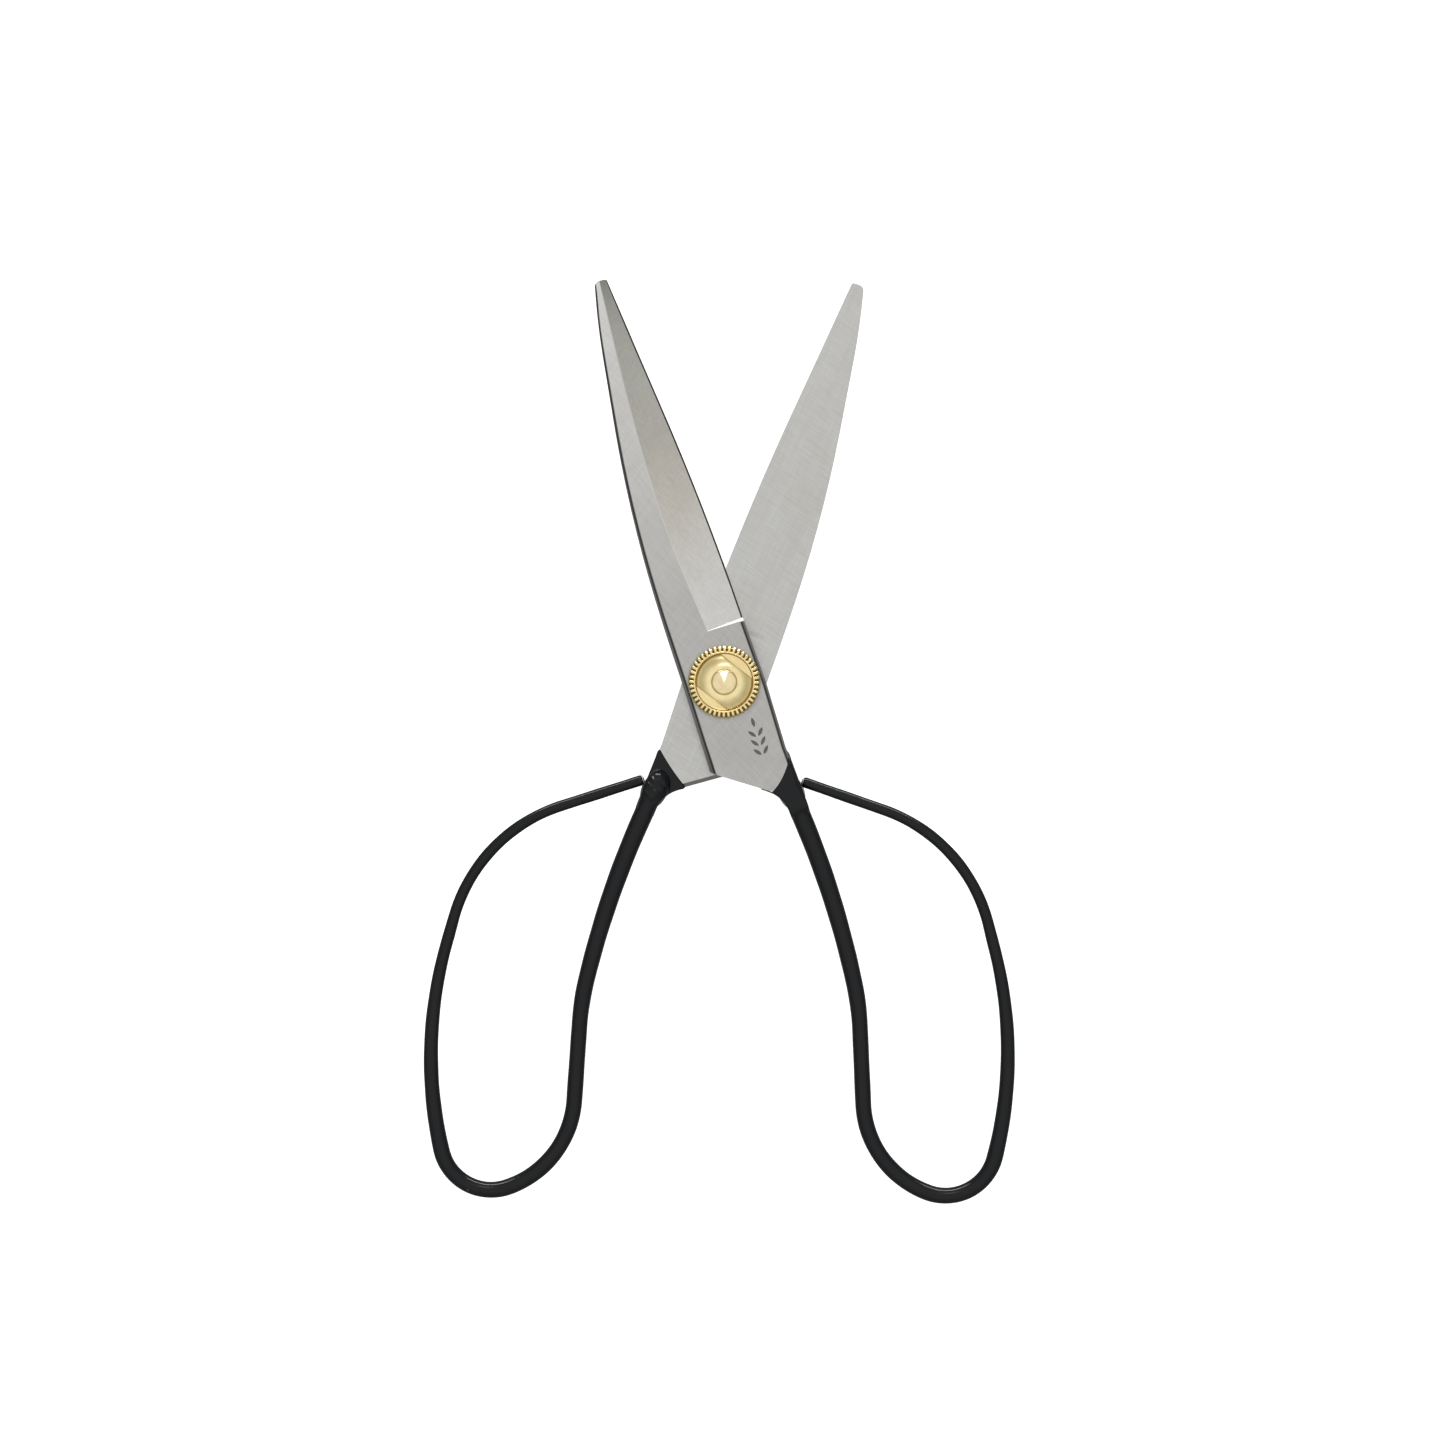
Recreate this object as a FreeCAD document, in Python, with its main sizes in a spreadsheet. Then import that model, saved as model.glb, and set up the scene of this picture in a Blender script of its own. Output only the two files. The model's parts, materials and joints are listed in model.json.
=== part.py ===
import FreeCAD, Part
import math
import os
import Sketcher
from FreeCAD import Placement, Rotation, Vector

# Florist's shears with drawn bow handles, in millimetres, +Z up.
# Both halves are one part: the rear half is the front half turned over about its own long axis.
# A half is drawn closed, in the half frame: the pivot at the origin, +Y to the tip, z = 0 on the
# plane where the two halves meet, the plate on the +Z side, the cutting edge and the handle at +X.
# In the whole object the origin is on the pivot axis, at the flat tail of the rivet it lies on.

SIZES = (
    # blade outline
    ("tip_y", 85.0, "pivot to the blade's tip"),
    ("tip_spine_x", 1.5, "spine side of the blunt tip"),
    ("tip_edge_x", 1.0, "edge side of the blunt tip"),
    ("tip_spine_round", 1.2, "rounding of the tip on the spine side"),
    ("tip_edge_round", 0.5, "rounding of the tip on the edge side"),
    ("spine_tip_radius", 150.0, "spine's curve from its straight run to the tip"),
    ("spine_far_y", 70.0, "upper end of the spine's straight run"),
    ("spine_far_x", 4.3, "the same, from the centre line"),
    ("spine_near_y", 55.0, "lower end of the spine's straight run"),
    ("spine_near_x", 6.28, "the same, from the centre line"),
    ("spine_radius", 277.0, "spine's curve above the widest place"),
    ("belly_y", 20.0, "height of the blade's widest place"),
    ("belly_x", 8.5, "spine to centre line at the widest place"),
    ("belly_radius", 540.0, "spine's curve below the widest place"),
    ("neck_top_y", 2.0, "where the spine becomes the straight neck side"),
    ("neck_top_x", 8.2, "neck side to centre line, upper end"),
    ("neck_x", 8.0, "neck side to centre line, lower end"),
    ("crotch_y", 16.6, "pivot to the lower end of the neck side"),
    ("crotch_low_x", 6.6, "start of the slanting lower edge"),
    ("crotch_low_y", 17.7, "the same, below the pivot"),
    ("edge_far_y", 55.0, "where the cutting edge becomes straight"),
    ("edge_far_x", 4.33, "the same, from the centre line"),
    ("edge_radius", 547.0, "cutting edge's curve in its lower half"),
    ("heel_y", 10.8, "start of the cutting edge and its bevel"),
    ("heel_x", 7.43, "the same, from the centre line"),
    ("shoulder_y", 3.0, "lower end of the slope below the heel"),
    ("shoulder_x", 8.1, "widest place of the neck on the handle side"),
    ("tang_top_y", 16.0, "where the neck leans out into the tang"),
    ("tang_top_x", 8.05, "the same, from the centre line"),
    ("tang_end_y", 28.5, "pivot to the tang's end"),
    ("tang_outer_x", 8.8, "outer side of the tang's end"),
    ("tang_inner_x", 5.1, "inner side of the tang's end"),
    ("flare_x", 1.6, "where the lower edge starts to curve into the tang"),
    ("flare_y", 23.2, "the same, below the pivot"),
    ("flare_radius", 7.5, "hollow curve from the lower edge into the tang"),
    # blade thickness and grinding
    ("blade_plate", 3.5, "plate thickness at the neck"),
    ("tip_plate", 1.7, "plate thickness at the tip"),
    ("blade_gap", 0.12, "gap between the two plates"),
    ("tang_slope_y", 23.6, "where the tang's outer face starts to slope down"),
    ("tang_end_plate", 2.6, "plate thickness at the tang's end"),
    ("ridge_heel_x", 0.3, "bevel's ridge to centre line at the heel"),
    ("ridge_mid_x", 2.6, "bevel's ridge to centre line at its widest place"),
    ("ridge_mid_y", 42.0, "height of that place"),
    ("ridge_tip_x", 0.45, "bevel's ridge to centre line at the tip"),
    ("shoulder_lean", 0.2, "lean of the step at the heel, along the blade for its depth"),
    ("edge_land", 0.6, "thickness where the bevel meets the honed edge"),
    ("honed_width", 0.35, "width of the honed strip along the cutting edge"),
    ("spine_chamfer", 1.05, "chamfer along the spine, at the neck"),
    ("spine_chamfer_tip", 0.4, "chamfer along the spine, at the tip"),
    ("neck_chamfer", 0.9, "chamfer along the neck on the handle side"),
    ("lower_edge_chamfer", 0.8, "chamfer on the inner face along the slanting lower edge"),
    # engraved sprig on the front neck
    ("sprig_x", 3.2, "sprig's stem to centre line"),
    ("sprig_foot_y", 16.5, "foot of the sprig, below the pivot"),
    ("leaf_pitch", 1.9, "step from one pair of leaves to the next"),
    ("leaf_length", 2.0, "leaf length"),
    ("leaf_width", 0.7, "leaf width"),
    ("leaf_angle", 40.0, "lean of a side leaf from the stem, degrees"),
    ("leaf_pairs", 3, "pairs of side leaves"),
    ("engraving_depth", 0.15, "depth of the engraving"),
    # handle rod: a bend table, from the tang round the bow and back to the tang
    ("rod_start_x", 6.24, "rod's upper end, from the centre line"),
    ("rod_start_y", 23.0, "rod's upper end, below the pivot"),
    ("rod_lean", 6.3, "rod's first direction, degrees out from straight down"),
    ("neck_run", 6.8, "straight run along the tang"),
    ("leg_radius", 185.0, "inner leg's curve"),
    ("leg_turn", 11.2, "inner leg's turn, degrees"),
    ("waist_radius", 56.0, "waist's curve"),
    ("waist_turn", 9.6, "waist's turn, degrees"),
    ("waist_run", 15.3, "straight run below the waist"),
    ("lower_radius", 20.0, "curve into the foot of the bow"),
    ("lower_turn", 67.4, "its turn, degrees"),
    ("foot_radius", 10.3, "foot of the bow"),
    ("foot_turn", 95.8, "its turn, degrees"),
    ("bow_radius", 85.0, "outer side of the bow"),
    ("bow_turn", 28.5, "its turn, degrees"),
    ("top_radius", 33.0, "shoulder of the bow"),
    ("top_turn", 56.6, "its turn, degrees"),
    ("bow_end_y", 23.85, "middle of the rod's free end, below the pivot"),
    ("rod_neck_dia", 3.7, "steel diameter at the tang"),
    ("rod_waist_dia", 2.85, "steel diameter at the waist"),
    ("rod_foot_dia", 2.9, "steel diameter at the foot of the bow"),
    ("rod_bow_dia", 1.95, "steel diameter at the top of the bow's outer side"),
    ("rod_end_dia", 1.75, "steel diameter at the free end"),
    # neck weld and dip coating
    ("weld_length", 8.0, "weld lump along the rod"),
    ("weld_side", 0.8, "weld past the rod at each side"),
    ("weld_throat", 0.45, "weld past the rod at its lowest place"),
    ("weld_lead", 1.8, "weld past the rod's upper end"),
    ("coat", 0.2, "thickness of the black coating"),
    ("coat_outer_y", 18.5, "coating's upper edge on the outer side, below the pivot"),
    ("coat_inner_x", 2.2, "coating's upper edge on the lower edge, from the centre line"),
    ("coat_inner_y", 23.5, "the same, below the pivot"),
    ("coat_edge_radius", 9.6, "hollow curve of the coating's upper edge"),
    ("bridge", 0.12, "how far the rod's coated end sinks into the tang's coating"),
    # brass pivot
    ("rivet_dia", 4.0, "rivet shank diameter"),
    ("rivet_clearance", 0.05, "radial clearance of the shank in a blade"),
    ("seat_clearance", 0.03, "running gap between brass and a blade"),
    ("brass_clearance", 0.05, "radial clearance of the shank in the brass pieces"),
    ("rivet_head_lip", 0.45, "how far the head stands out past the shank"),
    ("rivet_head_rim", 0.35, "straight part of the head"),
    ("rivet_head_height", 1.1, "whole height of the pointed head"),
    ("rivet_tail_lip", 1.1, "how far the hammered tail stands out past the shank"),
    ("rivet_tail_height", 0.9, "height of the hammered tail"),
    ("rivet_tail_chamfer", 0.3, "chamfer of the tail's edge"),
    ("washer_dia", 11.0, "rear washer diameter"),
    ("washer_plate", 0.8, "rear washer thickness"),
    ("washer_chamfer", 0.3, "chamfer of the rear washer's edge"),
    ("dial_dia", 14.74, "knurled dial diameter"),
    ("dial_height", 2.0, "dial's height at its rim"),
    ("dial_floor", 0.6, "thickness of the dish's floor"),
    ("rim_width", 1.57, "width of the rim round the dish"),
    ("rim_bevel", 0.6, "bevel of the rim's outer corner"),
    ("knurl_length", 1.22, "length of a groove, in from the rim's outer side"),
    ("knurl_depth", 0.35, "depth of a groove"),
    ("knurl_width", 0.6, "width of a groove"),
    ("knurl_count", 44, "number of grooves"),
    ("spring_gap", 0.25, "gap between the bow spring and the dish's wall"),
    ("spring_plate", 0.45, "bow spring thickness"),
    ("spring_rise", 0.8, "height of the spring's bow"),
    ("spring_crown_dia", 7.4, "flat crown of the spring"),
    ("spring_width", 7.9, "across the spring's two cut sides"),
    ("spring_turn", -37.0, "direction of the cut sides, degrees"),
    # rest position
    ("open_angle", 35.4, "angle between the halves at rest, degrees"),
)

document = FreeCAD.newDocument("floral_snips")
sheet = document.addObject("Spreadsheet::Sheet", "sizes")
for row, (alias, value, meaning) in enumerate(SIZES, start=1):
    sheet.set(f"A{row}", meaning)
    sheet.set(f"B{row}", str(value))
    sheet.setAlias(f"B{row}", alias)
document.recompute()
size = {alias: float(getattr(sheet, alias)) for alias, value, meaning in SIZES}


# Sketch, body and selection helpers

def signed(word):
    """The value and the sheet expression of a size's name, which may carry a minus sign."""
    if word == "0":
        return 0.0, None
    if word.startswith("-"):
        return -size[word[1:]], f"-sizes.{word[1:]}"
    return size[word], f"sizes.{word}"


def arc_between(first, last, radius, left):
    """Middle point of the short arc between two points, bulging to the left or right of the way."""
    chord = last - first
    half = chord.Length / 2
    rise = radius - math.sqrt(radius ** 2 - half ** 2)
    side = Vector(-chord.y, chord.x, 0) / chord.Length
    if not left:
        side = -side
    return (first + last) / 2 + side * rise


def origin_plane(body, role):
    for feature in body.Origin.OriginFeatures:
        if feature.Role == role:
            return feature
    raise RuntimeError(f"{body.Label} has no {role}")


def new_sketch(body, name, role, offset="0"):
    """A sketch on one of the body's own planes, lifted off it by the expression in offset."""
    sketch = body.newObject("Sketcher::SketchObject", name)
    sketch.AttachmentSupport = [(origin_plane(body, role), "")]
    sketch.MapMode = "FlatFace"
    if offset != "0":
        sketch.setExpression("AttachmentOffset.Base.z", offset)
    return sketch


def draw_outline(sketch, corners, arcs):
    """A closed outline through corners named in the sheet. arcs maps the number of the edge that
    leaves a corner to its radius's name and the side that it bulges to."""
    points = [Vector(signed(across)[0], signed(up)[0], 0) for across, up in corners]
    starts = []
    ends = []
    for number, first in enumerate(points):
        last = points[(number + 1) % len(points)]
        if number not in arcs:
            edge = sketch.addGeometry(Part.LineSegment(first, last), False)
            starts.append((edge, 1))
            ends.append((edge, 2))
            continue
        radius_name, left = arcs[number]
        middle = arc_between(first, last, size[radius_name], left)
        edge = sketch.addGeometry(Part.Arc(first, middle, last), False)
        # a sketch keeps every arc anticlockwise, so one that bulges left runs backwards
        starts.append((edge, 2 if left else 1))
        ends.append((edge, 1 if left else 2))
        bound = sketch.addConstraint(Sketcher.Constraint("Radius", edge, size[radius_name]))
        sketch.setExpression(f"Constraints[{bound}]", f"sizes.{radius_name}")
    for number, (across, up) in enumerate(corners):
        edge, end = starts[number]
        before, before_end = ends[number - 1]
        sketch.addConstraint(Sketcher.Constraint("Coincident", before, before_end, edge, end))
        for kind, word in (("DistanceX", across), ("DistanceY", up)):
            value, expression = signed(word)
            bound = sketch.addConstraint(Sketcher.Constraint(kind, -1, 1, edge, end, value))
            if expression:
                sketch.setExpression(f"Constraints[{bound}]", expression)


def draw_polygon(sketch, points):
    """A closed outline of straight lines through points already worked out from the sheet."""
    for first, last in zip(points, points[1:] + points[:1]):
        sketch.addGeometry(Part.LineSegment(Vector(*first, 0), Vector(*last, 0)), False)


def edges_at(shape, middles):
    """Names of the edges of a shape whose middle lies nearest each given point."""
    names = []
    for middle in middles:
        gaps = []
        for number, edge in enumerate(shape.Edges, start=1):
            ends = (edge.FirstParameter + edge.LastParameter) / 2
            gaps.append(((edge.valueAt(ends) - middle).Length, number))
        names.append(f"Edge{min(gaps)[1]}")
    return names


def add_pocket(body, sketch, name, depth=None, both=False, upward=False):
    """A pocket that must take material away; through everything unless a depth is named."""
    before = body.Tip.Shape.Volume
    pocket = body.newObject("PartDesign::Pocket", name)
    pocket.Profile = sketch
    pocket.Midplane = both
    pocket.Reversed = upward
    if depth:
        pocket.Type = 0
        pocket.setExpression("Length", f"sizes.{depth}")
    else:
        pocket.Type = 1
    document.recompute()
    if pocket.Shape.Volume >= before:
        raise RuntimeError(f"{body.Label}: {name} cuts nothing")
    return pocket


def add_dress(body, kind, name, middles, property_name, expression):
    """A chamfer or fillet on the edges of the body's tip nearest the given points."""
    base = body.Tip
    dress = body.newObject(kind, name)
    dress.Base = (base, edges_at(base.Shape, middles))
    dress.setExpression(property_name, expression)
    document.recompute()
    return dress


def revolve(body, sketch, name):
    revolution = body.newObject("PartDesign::Revolution", name)
    revolution.Profile = sketch
    revolution.ReferenceAxis = (sketch, ["V_Axis"])
    revolution.Angle = 360
    document.recompute()
    return revolution


def cut(name, base, tool):
    result = document.addObject("Part::Cut", name)
    result.Base = base
    result.Tool = tool
    document.recompute()
    return result


def join(name, shapes):
    result = document.addObject("Part::MultiFuse", name)
    result.Shapes = shapes
    result.Refine = True
    document.recompute()
    return result


def shape_feature(name, shape, placement):
    result = document.addObject("Part::Feature", name)
    result.Shape = shape
    result.Placement = placement
    return result


# Heights in the half frame and in the whole object

inner_face = size["blade_gap"] / 2
outer_face = inner_face + size["blade_plate"]
mid_plane = (size["rivet_tail_height"] + size["washer_plate"] + size["seat_clearance"]
             + size["blade_plate"] + size["blade_gap"] / 2)
dial_seat = mid_plane + outer_face + size["seat_clearance"]
spring_top = dial_seat + size["dial_floor"] + size["spring_rise"] + size["spring_plate"]

FRONT_REST = Placement(Vector(0, 0, mid_plane), Rotation(Vector(0, 0, 1), size["open_angle"] / 2))
REAR_REST = Placement(
    Vector(0, 0, mid_plane),
    Rotation(Vector(0, 0, 1), -size["open_angle"] / 2) * Rotation(Vector(0, 1, 0), 180),
)


# Blade: a ground steel plate, from its blunt tip to the tang that the handle rod is welded to

BLADE_CORNERS = (
    ("-tip_spine_x", "tip_y"),
    ("-spine_far_x", "spine_far_y"),
    ("-spine_near_x", "spine_near_y"),
    ("-belly_x", "belly_y"),
    ("-neck_top_x", "neck_top_y"),
    ("-neck_x", "-crotch_y"),
    ("-crotch_low_x", "-crotch_low_y"),
    ("flare_x", "-flare_y"),
    ("tang_inner_x", "-tang_end_y"),
    ("tang_outer_x", "-tang_end_y"),
    ("tang_top_x", "-tang_top_y"),
    ("shoulder_x", "-shoulder_y"),
    ("heel_x", "heel_y"),
    ("edge_far_x", "edge_far_y"),
    ("tip_edge_x", "tip_y"),
)
# edges of the outline, each by the number of the corner that it leaves
SPINE_TIP = 0
SPINE_STRAIGHT = 1
SPINE_UPPER = 2
SPINE_LOWER = 3
NECK_INNER = 4
LOWER_EDGE = 6
FLARE = 7
TANG_OUTER = 9
NECK_OUTER = 10
EDGE_CURVE = 12
EDGE_STRAIGHT = 13
TIP_END = 14
BLADE_ARCS = {
    SPINE_TIP: ("spine_tip_radius", False),
    SPINE_UPPER: ("spine_radius", False),
    SPINE_LOWER: ("belly_radius", False),
    FLARE: ("flare_radius", True),
    EDGE_CURVE: ("edge_radius", False),
}


def corner(number):
    across, up = BLADE_CORNERS[number % len(BLADE_CORNERS)]
    return Vector(signed(across)[0], signed(up)[0], 0)


def edge_middle(number, up):
    """The middle of a straight edge of the outline, at a height on the plate."""
    return (corner(number) + corner(number + 1)) / 2 + Vector(0, 0, up)


def outline_x(edge_number, height):
    """Where the blade's outline crosses a height, on one of its edges or past its end."""
    first = corner(edge_number)
    last = corner(edge_number + 1)
    if edge_number not in BLADE_ARCS:
        return first.x + (last.x - first.x) * (height - first.y) / (last.y - first.y)
    radius_name, left = BLADE_ARCS[edge_number]
    radius = size[radius_name]
    middle = arc_between(first, last, radius, left)
    centre = middle + ((first + last) / 2 - middle).normalize() * radius
    reach = math.sqrt(radius ** 2 - (height - centre.y) ** 2)
    return centre.x + math.copysign(reach, middle.x - centre.x)


def spine_x(height):
    if height > size["spine_far_y"]:
        return outline_x(SPINE_TIP, height)
    if height > size["spine_near_y"]:
        return outline_x(SPINE_STRAIGHT, height)
    if height > size["belly_y"]:
        return outline_x(SPINE_UPPER, height)
    if height > size["neck_top_y"]:
        return outline_x(SPINE_LOWER, height)
    return outline_x(NECK_INNER, height)


def edge_x(height):
    return outline_x(EDGE_STRAIGHT if height > size["edge_far_y"] else EDGE_CURVE, height)


def ridge_x(height):
    """The bevel's ridge: two half waves, from the heel out to its widest place and in to the tip."""
    widest = size["ridge_mid_x"]
    if height < size["ridge_mid_y"]:
        start = size["ridge_heel_x"]
        share = (height - size["heel_y"]) / (size["ridge_mid_y"] - size["heel_y"])
    else:
        start = size["ridge_tip_x"]
        share = (size["tip_y"] - height) / (size["tip_y"] - size["ridge_mid_y"])
    return -(start + (widest - start) * math.sin(math.pi / 2 * share))


def outer_height(height):
    """Height of the plate's outer face, which thins from the heel to the tip."""
    share = max(0, (height - size["heel_y"]) / (size["tip_y"] - size["heel_y"]))
    return outer_face - (size["blade_plate"] - size["tip_plate"]) * share


def section(height, points, lean=0):
    """A closed outline across the blade at one height, from pairs of x and z. With a lean it
    slants up the blade by that much for each millimetre below its first point."""
    highest = points[0][1]
    corners = [Vector(across, height + lean * (highest - up), up) for across, up in points]
    return Part.makePolygon(corners + corners[:1])


BEVEL_STEPS = 7
SPINE_STEPS = 14
PAST_END = 2.0


def bevel_tool():
    """What grinding takes off the edge side: the wide bevel, which starts at a leaning step at
    the heel, then the narrow honed strip."""
    span = size["tip_y"] + PAST_END - size["heel_y"]
    sections = []
    for step in range(BEVEL_STEPS):
        height = size["heel_y"] + span * step / (BEVEL_STEPS - 1)
        at = min(height, size["tip_y"])
        top = outer_height(at)
        honed_z = inner_face + size["edge_land"]
        honed_x = edge_x(at) - size["honed_width"]
        fall = size["edge_land"] / size["honed_width"]
        sections.append(section(height, (
            (ridge_x(at), top),
            (honed_x, honed_z),
            (honed_x + PAST_END, honed_z - fall * PAST_END),
            (edge_x(at) + PAST_END, top + PAST_END),
            (ridge_x(at), top + PAST_END),
        ), 0 if step else size["shoulder_lean"]))
    return Part.makeLoft(sections, True, False)


def spine_tool():
    """What grinding takes off the spine: a chamfer that narrows to the tip."""
    lowest = -size["crotch_low_y"] - PAST_END
    span = size["tip_y"] + PAST_END - lowest
    sections = []
    for step in range(SPINE_STEPS):
        height = lowest + span * step / (SPINE_STEPS - 1)
        at = max(min(height, size["tip_y"]), -size["crotch_y"])
        share = max(0, at / size["tip_y"])
        width = size["spine_chamfer"] + (size["spine_chamfer_tip"] - size["spine_chamfer"]) * share
        side = spine_x(at)
        top = outer_height(at)
        sections.append(section(height, (
            (side + width + PAST_END, top + PAST_END),
            (side - PAST_END, top + PAST_END),
            (side - PAST_END, top - width - PAST_END),
        )))
    return Part.makeLoft(sections, True, False)


def side_wedge(body, name, points):
    """Takes a wedge off the plate, drawn from the side as pairs of y and z."""
    sketch = new_sketch(body, f"{name}_sketch", "YZ_Plane")
    draw_polygon(sketch, points)
    return add_pocket(body, sketch, name, both=True)


def tang_slope(skin):
    """The wedge of y and z that slopes the tang's outer face down to its end, or, with a skin,
    the wedge that slopes the coating over it."""
    fall = (size["blade_plate"] - size["tang_end_plate"]) / (size["tang_end_y"] - size["tang_slope_y"])
    past_y = size["tang_end_y"] + PAST_END
    top = outer_face + skin
    return [
        (-size["tang_slope_y"], top),
        (-size["tang_slope_y"], top + PAST_END),
        (-past_y, top + PAST_END),
        (-past_y, top - fall * (past_y - size["tang_slope_y"])),
    ]


def engrave_sprig(body):
    """A plain sprig: pairs of lens-shaped leaves up a stem, and one leaf at its top."""
    sketch = new_sketch(body, "sprig_sketch", "XY_Plane", "sizes.blade_gap / 2 + sizes.blade_plate")
    pairs = int(size["leaf_pairs"])
    leaves = [(0, pairs)]
    for level in range(pairs):
        leaves.append((size["leaf_angle"], level))
        leaves.append((-size["leaf_angle"], level))
    for lean, level in leaves:
        foot = Vector(size["sprig_x"], -size["sprig_foot_y"] + size["leaf_pitch"] * level, 0)
        along = Vector(math.sin(math.radians(lean)), math.cos(math.radians(lean)), 0)
        across = Vector(along.y, -along.x, 0)
        foot = foot + along * size["leaf_width"] / 2
        tip = foot + along * size["leaf_length"]
        for side in (1, -1):
            bulge = (foot + tip) / 2 + across * (side * size["leaf_width"] / 2)
            sketch.addGeometry(Part.Arc(foot, bulge, tip), False)
    return add_pocket(body, sketch, "sprig", depth="engraving_depth")


def blade_blank(prefix, rest, engraved):
    body = document.addObject("PartDesign::Body", f"{prefix}_blank")
    body.Placement = rest
    outline = new_sketch(body, f"{prefix}_outline", "XY_Plane", "sizes.blade_gap / 2")
    draw_outline(outline, BLADE_CORNERS, BLADE_ARCS)
    pad = body.newObject("PartDesign::Pad", f"{prefix}_plate")
    pad.Profile = outline
    pad.setExpression("Length", "sizes.blade_plate")
    document.recompute()

    add_dress(body, "PartDesign::Chamfer", f"{prefix}_neck_chamfer",
              [edge_middle(NECK_OUTER, outer_face), edge_middle(TANG_OUTER, outer_face)],
              "Size", "sizes.neck_chamfer")
    add_dress(body, "PartDesign::Chamfer", f"{prefix}_lower_chamfer",
              [edge_middle(LOWER_EDGE, inner_face)], "Size", "sizes.lower_edge_chamfer")
    halfway = Vector(0, 0, (inner_face + outer_face) / 2)
    add_dress(body, "PartDesign::Fillet", f"{prefix}_tip_spine_round",
              [corner(SPINE_TIP) + halfway], "Radius", "sizes.tip_spine_round")
    add_dress(body, "PartDesign::Fillet", f"{prefix}_tip_edge_round",
              [corner(TIP_END) + halfway], "Radius", "sizes.tip_edge_round")

    hole = new_sketch(body, f"{prefix}_hole_sketch", "XY_Plane")
    circle = hole.addGeometry(Part.Circle(Vector(0, 0, 0), Vector(0, 0, 1), 1), False)
    hole.addConstraint(Sketcher.Constraint("Coincident", circle, 3, -1, 1))
    bound = hole.addConstraint(Sketcher.Constraint("Radius", circle, 1))
    hole.setExpression(f"Constraints[{bound}]", "sizes.rivet_dia / 2 + sizes.rivet_clearance")
    add_pocket(body, hole, f"{prefix}_rivet_hole", both=True)

    past_y = size["tip_y"] + PAST_END
    fall = (size["blade_plate"] - size["tip_plate"]) / (size["tip_y"] - size["heel_y"])
    side_wedge(body, f"{prefix}_thinning", [
        (size["heel_y"], outer_face),
        (past_y, outer_face - fall * (past_y - size["heel_y"])),
        (past_y, outer_face + PAST_END),
        (size["heel_y"], outer_face + PAST_END),
    ])
    side_wedge(body, f"{prefix}_tang_slope", tang_slope(0))
    if engraved:
        engrave_sprig(body)
    return body


# Handle rod: drawn steel, thick at the tang and thin round the bow, bent in one plane

def bend_table():
    """The rod's middle line as a list of runs (length) and bends (radius, turn). A turn is in
    degrees, positive towards the centre line. Two runs have no length of their own: the outer
    run and the last run are as long as brings the free end back against the tang."""
    return [
        ("run", size["neck_run"], 0),
        ("bend", size["leg_radius"], size["leg_turn"]),
        ("bend", size["waist_radius"], size["waist_turn"]),
        ("run", size["waist_run"], 0),
        ("bend", size["lower_radius"], -size["lower_turn"]),
        ("bend", size["foot_radius"], -size["foot_turn"]),
        ("bend", size["bow_radius"], -size["bow_turn"]),
        ("outer_run", 0, 0),
        ("bend", size["top_radius"], -size["top_turn"]),
        ("last_run", 0, 0),
    ]


def way(heading):
    """The direction of a heading in degrees from straight down, positive towards the centre."""
    angle = math.radians(heading)
    return Vector(-math.sin(angle), -math.cos(angle), 0)


def bend_step(point, heading, radius, turn):
    """The middle and end points of a bend that starts at a point."""
    side = Vector(-way(heading).y, way(heading).x, 0)
    if turn > 0:
        side = -side
    centre = point + side * radius
    spoke = point - centre
    axis = Vector(0, 0, 1)
    middle = centre + Rotation(axis, -turn / 2).multVec(spoke)
    end = centre + Rotation(axis, -turn).multVec(spoke)
    return middle, end


def tang_side_x(y):
    """Outer side of the tang at a place below the pivot."""
    return outline_x(TANG_OUTER, y)


def free_end(radius):
    """Where the middle of the free end comes, so that its coated corner meets the tang's coat."""
    heading = -size["rod_lean"] + sum(turn for kind, length, turn in bend_table())
    side = Vector(-way(heading).y, way(heading).x, 0)
    if side.x > 0:
        side = -side
    low = -size["bow_end_y"] + side.y * radius
    return Vector(tang_side_x(low) + size["coat"] - size["bridge"] - side.x * radius,
                  -size["bow_end_y"], 0)


def solved_runs():
    """Lengths of the outer run and the last run that close the bow on the tang."""
    point = Vector(size["rod_start_x"], -size["rod_start_y"], 0)
    heading = -size["rod_lean"]
    open_ways = []
    for kind, length, turn in bend_table():
        if kind == "run":
            point = point + way(heading) * length
        elif kind == "bend":
            point = bend_step(point, heading, length, turn)[1]
            heading += turn
        else:
            open_ways.append(way(heading))
    gap = free_end(size["rod_end_dia"] / 2 + size["coat"]) - point
    outer, last = open_ways
    det = outer.x * last.y - outer.y * last.x
    outer_run = (gap.x * last.y - gap.y * last.x) / det
    last_run = (outer.x * gap.y - outer.y * gap.x) / det
    if min(outer_run, last_run) <= 0:
        raise RuntimeError(f"the bow does not close: runs {outer_run:.2f} and {last_run:.2f} mm")
    return outer_run, last_run


def handle_line(extra):
    """The rod's middle line as tangent lines and arcs, run on past its free end by extra, with
    the places and headings where its diameter is set."""
    outer_run, last_run = solved_runs()
    lengths = {"outer_run": outer_run, "last_run": last_run + extra}
    point = Vector(size["rod_start_x"], -size["rod_start_y"], 0)
    heading = -size["rod_lean"]
    edges = []
    stations = [(point, heading)]
    for kind, length, turn in bend_table():
        if kind == "bend":
            middle, end = bend_step(point, heading, length, turn)
            edges.append(Part.Arc(point, middle, end).toShape())
            heading += turn
        else:
            end = point + way(heading) * lengths.get(kind, length)
            edges.append(Part.LineSegment(point, end).toShape())
        point = end
        stations.append((point, heading))
    return Part.Wire(edges), stations


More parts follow.
